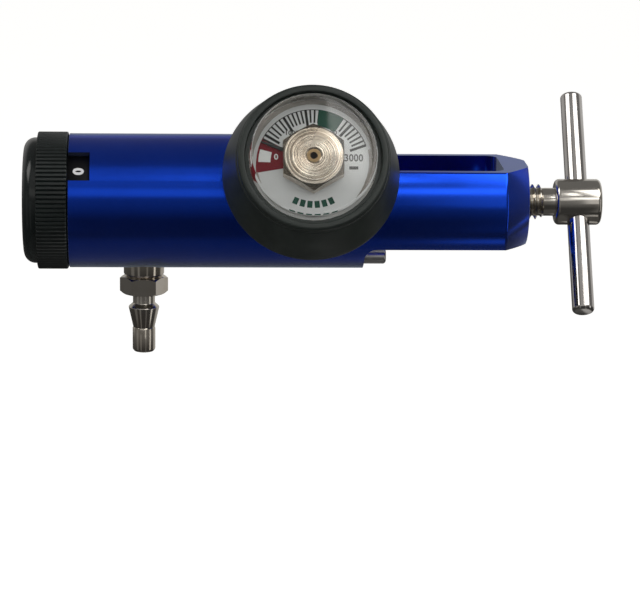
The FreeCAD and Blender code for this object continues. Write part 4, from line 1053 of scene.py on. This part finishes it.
def makeDialPrint():
    p = dialPrint
    low = gaugeFrame @ Matrix.Translation((0, 0, -p["drop"] * mm))
    prints = (
        ("dialTicks", "blackInk", low, makeTicks()),
        ("dialGreen", "greenInk", low, [ringSector(*p["green"], p["greenLift"])] + makeBlocks()),
        ("dialRed", "redInk", low, [ringSector(*p["red"])]),
        ("dialWhitePatch", "whiteInk", low,
         [ringSector(*p["patch"], p["patchLift"], 12), dialText(*p["zero"])]),
        ("dialNumbers", "greyInk", low,
         [dialText(*number) for number in p["numbers"]] + [dialBlock(*p["dash"], p["skin"])]),
        # a grey band painted on the dial's edge, wider at the bottom: painted shade and reflection of the
        # case wall through the lens border
        ("dialRimShade", "paintedRimShade", gaugeFrame, [ringSector(*rim) for rim in p["shadeRims"]]),
    )
    for name, finish, matrix, meshes in prints:
        addPiece(name, joinAll(meshes), matrix, finish, "barrel", "dial_white")


makeBoot()
makeCase()
makeDialPlate()
makeDialPrint()
makePointer()
makeHub()
makeLens()
print("stage: contents gauge")


# clamping screw and bar
clampScrew = {
    "tip": 27.6, "point": 1.2, "dog": 3.2, "coneEnd": 29.6, "ringStart": 30.2, "ringEnd": 31.2,
    "groove": 2.6, "root": 3.62, "shankEnd": 47.1, "neckStart": 47.3, "neck": 3.65,
    "headStart": 50.0, "headEnd": 62.0, "head": 5.97, "headEdge": 1.2, "barRoom": 0.02,
}
thread = {
    "start": 31.6, "end": 47.1, "pitch": 1.5875, "crest": 4.6, "crestWidth": 0.12, "fadeLength": 0.9,
    "sunk": 0.25, "fadeSunk": 0.3, "perTurn": 48,
}
bar = {"left": -31.2, "leftRise": -30.6, "rightRise": 30.6, "right": 31.2, "face": 2.26, "radius": 2.86}


def threadRidge():
    # a wedge swept along the right-hand helix, its first and last turn running out
    t, root = thread, clampScrew["root"]
    low, high = (root - t["sunk"]) * mm, t["crest"] * mm
    half, flat = t["pitch"] / 2 * mm, t["crestWidth"] / 2 * mm
    mesh = bmesh.new()
    mesh.faces.new([mesh.verts.new((t["start"] * mm + x, 0, radius)) for x, radius in (
        (-half, low), (-flat, high), (flat, high), (half, low))])
    steps = int((t["end"] - t["start"]) / t["pitch"] * t["perTurn"])
    bmesh.ops.spin(mesh, geom=list(mesh.faces), cent=(0, 0, 0), axis=(1, 0, 0), steps=steps,
                   angle=math.tau * steps / t["perTurn"], dvec=(t["pitch"] / t["perTurn"] * mm, 0, 0))
    bottom = root - t["fadeSunk"]
    for vert in mesh.verts:
        reach = math.hypot(vert.co.y, vert.co.z)
        x = vert.co.x / mm
        fade = max(0.0, min(1.0, min(x - t["start"], t["end"] - x) / t["fadeLength"]))
        limit = (bottom + (t["crest"] - bottom) * fade) * mm
        if reach > limit:
            vert.co.yz *= limit / reach
    bmesh.ops.recalc_face_normals(mesh, faces=mesh.faces)
    return mesh


def makeScrew():
    c = clampScrew
    mesh = turned(
        c, "tip 0, tip point, coneEnd dog, ringStart dog, ringStart groove, ringEnd groove,"
        "ringEnd root, shankEnd root, neckStart neck, headStart neck, headStart head,"
        "headEnd head, headEnd 0", 112, [
            ("tip point", 0.3), ("headStart head", c["headEdge"], 7), ("headEnd head", c["headEdge"], 7)])
    piece = makeObject("clampScrew", mesh)
    cutFrom(piece, roundBar(-9, 9, bar["radius"] + c["barRoom"], 96), barFrame)
    finishPiece(piece, "nickel", "clamp_screw", "nickel", ["yoke_screw"])
    addPiece("clampThread", threadRidge(), None, "nickel", "clamp_screw", "nickel", sharpAngle=35)


def makeBar():
    mesh = turned(
        bar, "left 0, left face, leftRise radius, rightRise radius, right face, right 0", 96,
        [(ring, 0.3, 4) for ring in ("left face", "leftRise radius", "right face", "rightRise radius")])
    addPiece("crossBar", mesh, barFrame, "barNickel", "clamp_screw", "nickel", ["t_bar"])


keeper = {"start": 30.3, "end": 31.1, "inner": 2.65, "outer": 5.4, "gap": 1.2}


def makeScrewRing():
    k = keeper
    piece = makeObject("keeperRing", turned(
        k, "start inner, start outer, end outer, end inner", 72,
        [("start outer", 0.15), ("end outer", 0.15)]))
    half = k["gap"] / 2
    cutFrom(piece, blockShape((k["start"] - 0.3, -half, 0), (k["end"] + 0.4, half, k["outer"] + 1)))
    finishPiece(piece, "steel", "ring_carrier", "steel", ["screw_ring"])


makeScrew()
makeBar()
makeScrewRing()
print("stage: clamping screw")


# inlet
inlet = {
    "back": -9, "seat": 4.0, "bore": 1.2, "nipple": 3.1, "nippleEnd": 3.7, "reach": 4.2, "rim": 2.6,
    "mouth": 1.89, "plugStart": -5.2, "plug": 1.85, "plugRise": 3.2, "plugEnd": 3.8, "plugFace": 1.25,
}
washer = {"inner": 3.15, "core": 5.1, "outer": 6.3, "end": 1.5}


def makeInlet():
    mesh = turned(
        inlet, "back bore, back seat, 0 seat, 0 nipple, nippleEnd nipple, reach rim, reach mouth,"
        "plugStart mouth, plugStart bore", 72, [("reach mouth", 0.15, 2)])
    addPiece("inletNozzle", mesh, None, "brass", "barrel", "brass", ["inlet_nipple"])
    mesh = turned(inlet, "plugStart 0, plugStart plug, plugRise plug, plugEnd plugFace, plugEnd 0", 48)
    addPiece("inletPlug", mesh, None, "brass", "barrel", "brass", ["inlet_filter"])
    mesh = turned(washer, "0 inner, 0 core, end core, end inner", 72, [("end inner", 0.2)])
    addPiece("washerRubber", mesh, None, "sealRubber", "barrel", "seal_rubber", ["washer_core"])
    mesh = turned(washer, "0 core, 0 outer, end outer, end core", 72, [("end outer", 0.2)])
    addPiece("washerMetal", mesh, None, "brass", "barrel", "brass", ["washer_ring"])


def makePins():
    for label, side in (("front", -1), ("back", 1)):
        mesh = turned(
            pins, "start 0, start face, startRise radius, endRise radius, end face, end 0", 48,
            [("endRise radius", 0.25), ("end face", 0.25)])
        addPiece("indexPin" + label.capitalize(), mesh, pinFrame(side), "steel", "barrel", "steel",
                 ["index_pin_" + label])


makeInlet()
makePins()
print("stage: inlet")


# solids that keep their own mesh, by finish
solidFinishes = {
    "sealRubber": ("outlet_seal", "bonnet_seal", "block_seal", "port_seal", "gauge_seal",
                   "shaft_seal", "piston_seal", "stem_seal"),
    "steel": ("detent_ball", "detent_spring", "main_spring", "knob_screw"),
    "brass": ("flow_block", "selector_shaft", "orifice_plate", "piston"),
    "gaugeStemBrass": ("gauge_stem", "bourdon_coil"),
    "slipPlastic": ("thrust_washer", "valve_seat"),
    "aluminium": ("flow_bonnet",),
}
for finish, nodes in solidFinishes.items():
    for node in nodes:
        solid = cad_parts[node]
        solid.data.materials.clear()
        solid.data.materials.append(finishes[finish])
print("stage: inner solids,", sum(map(len, solidFinishes.values())))
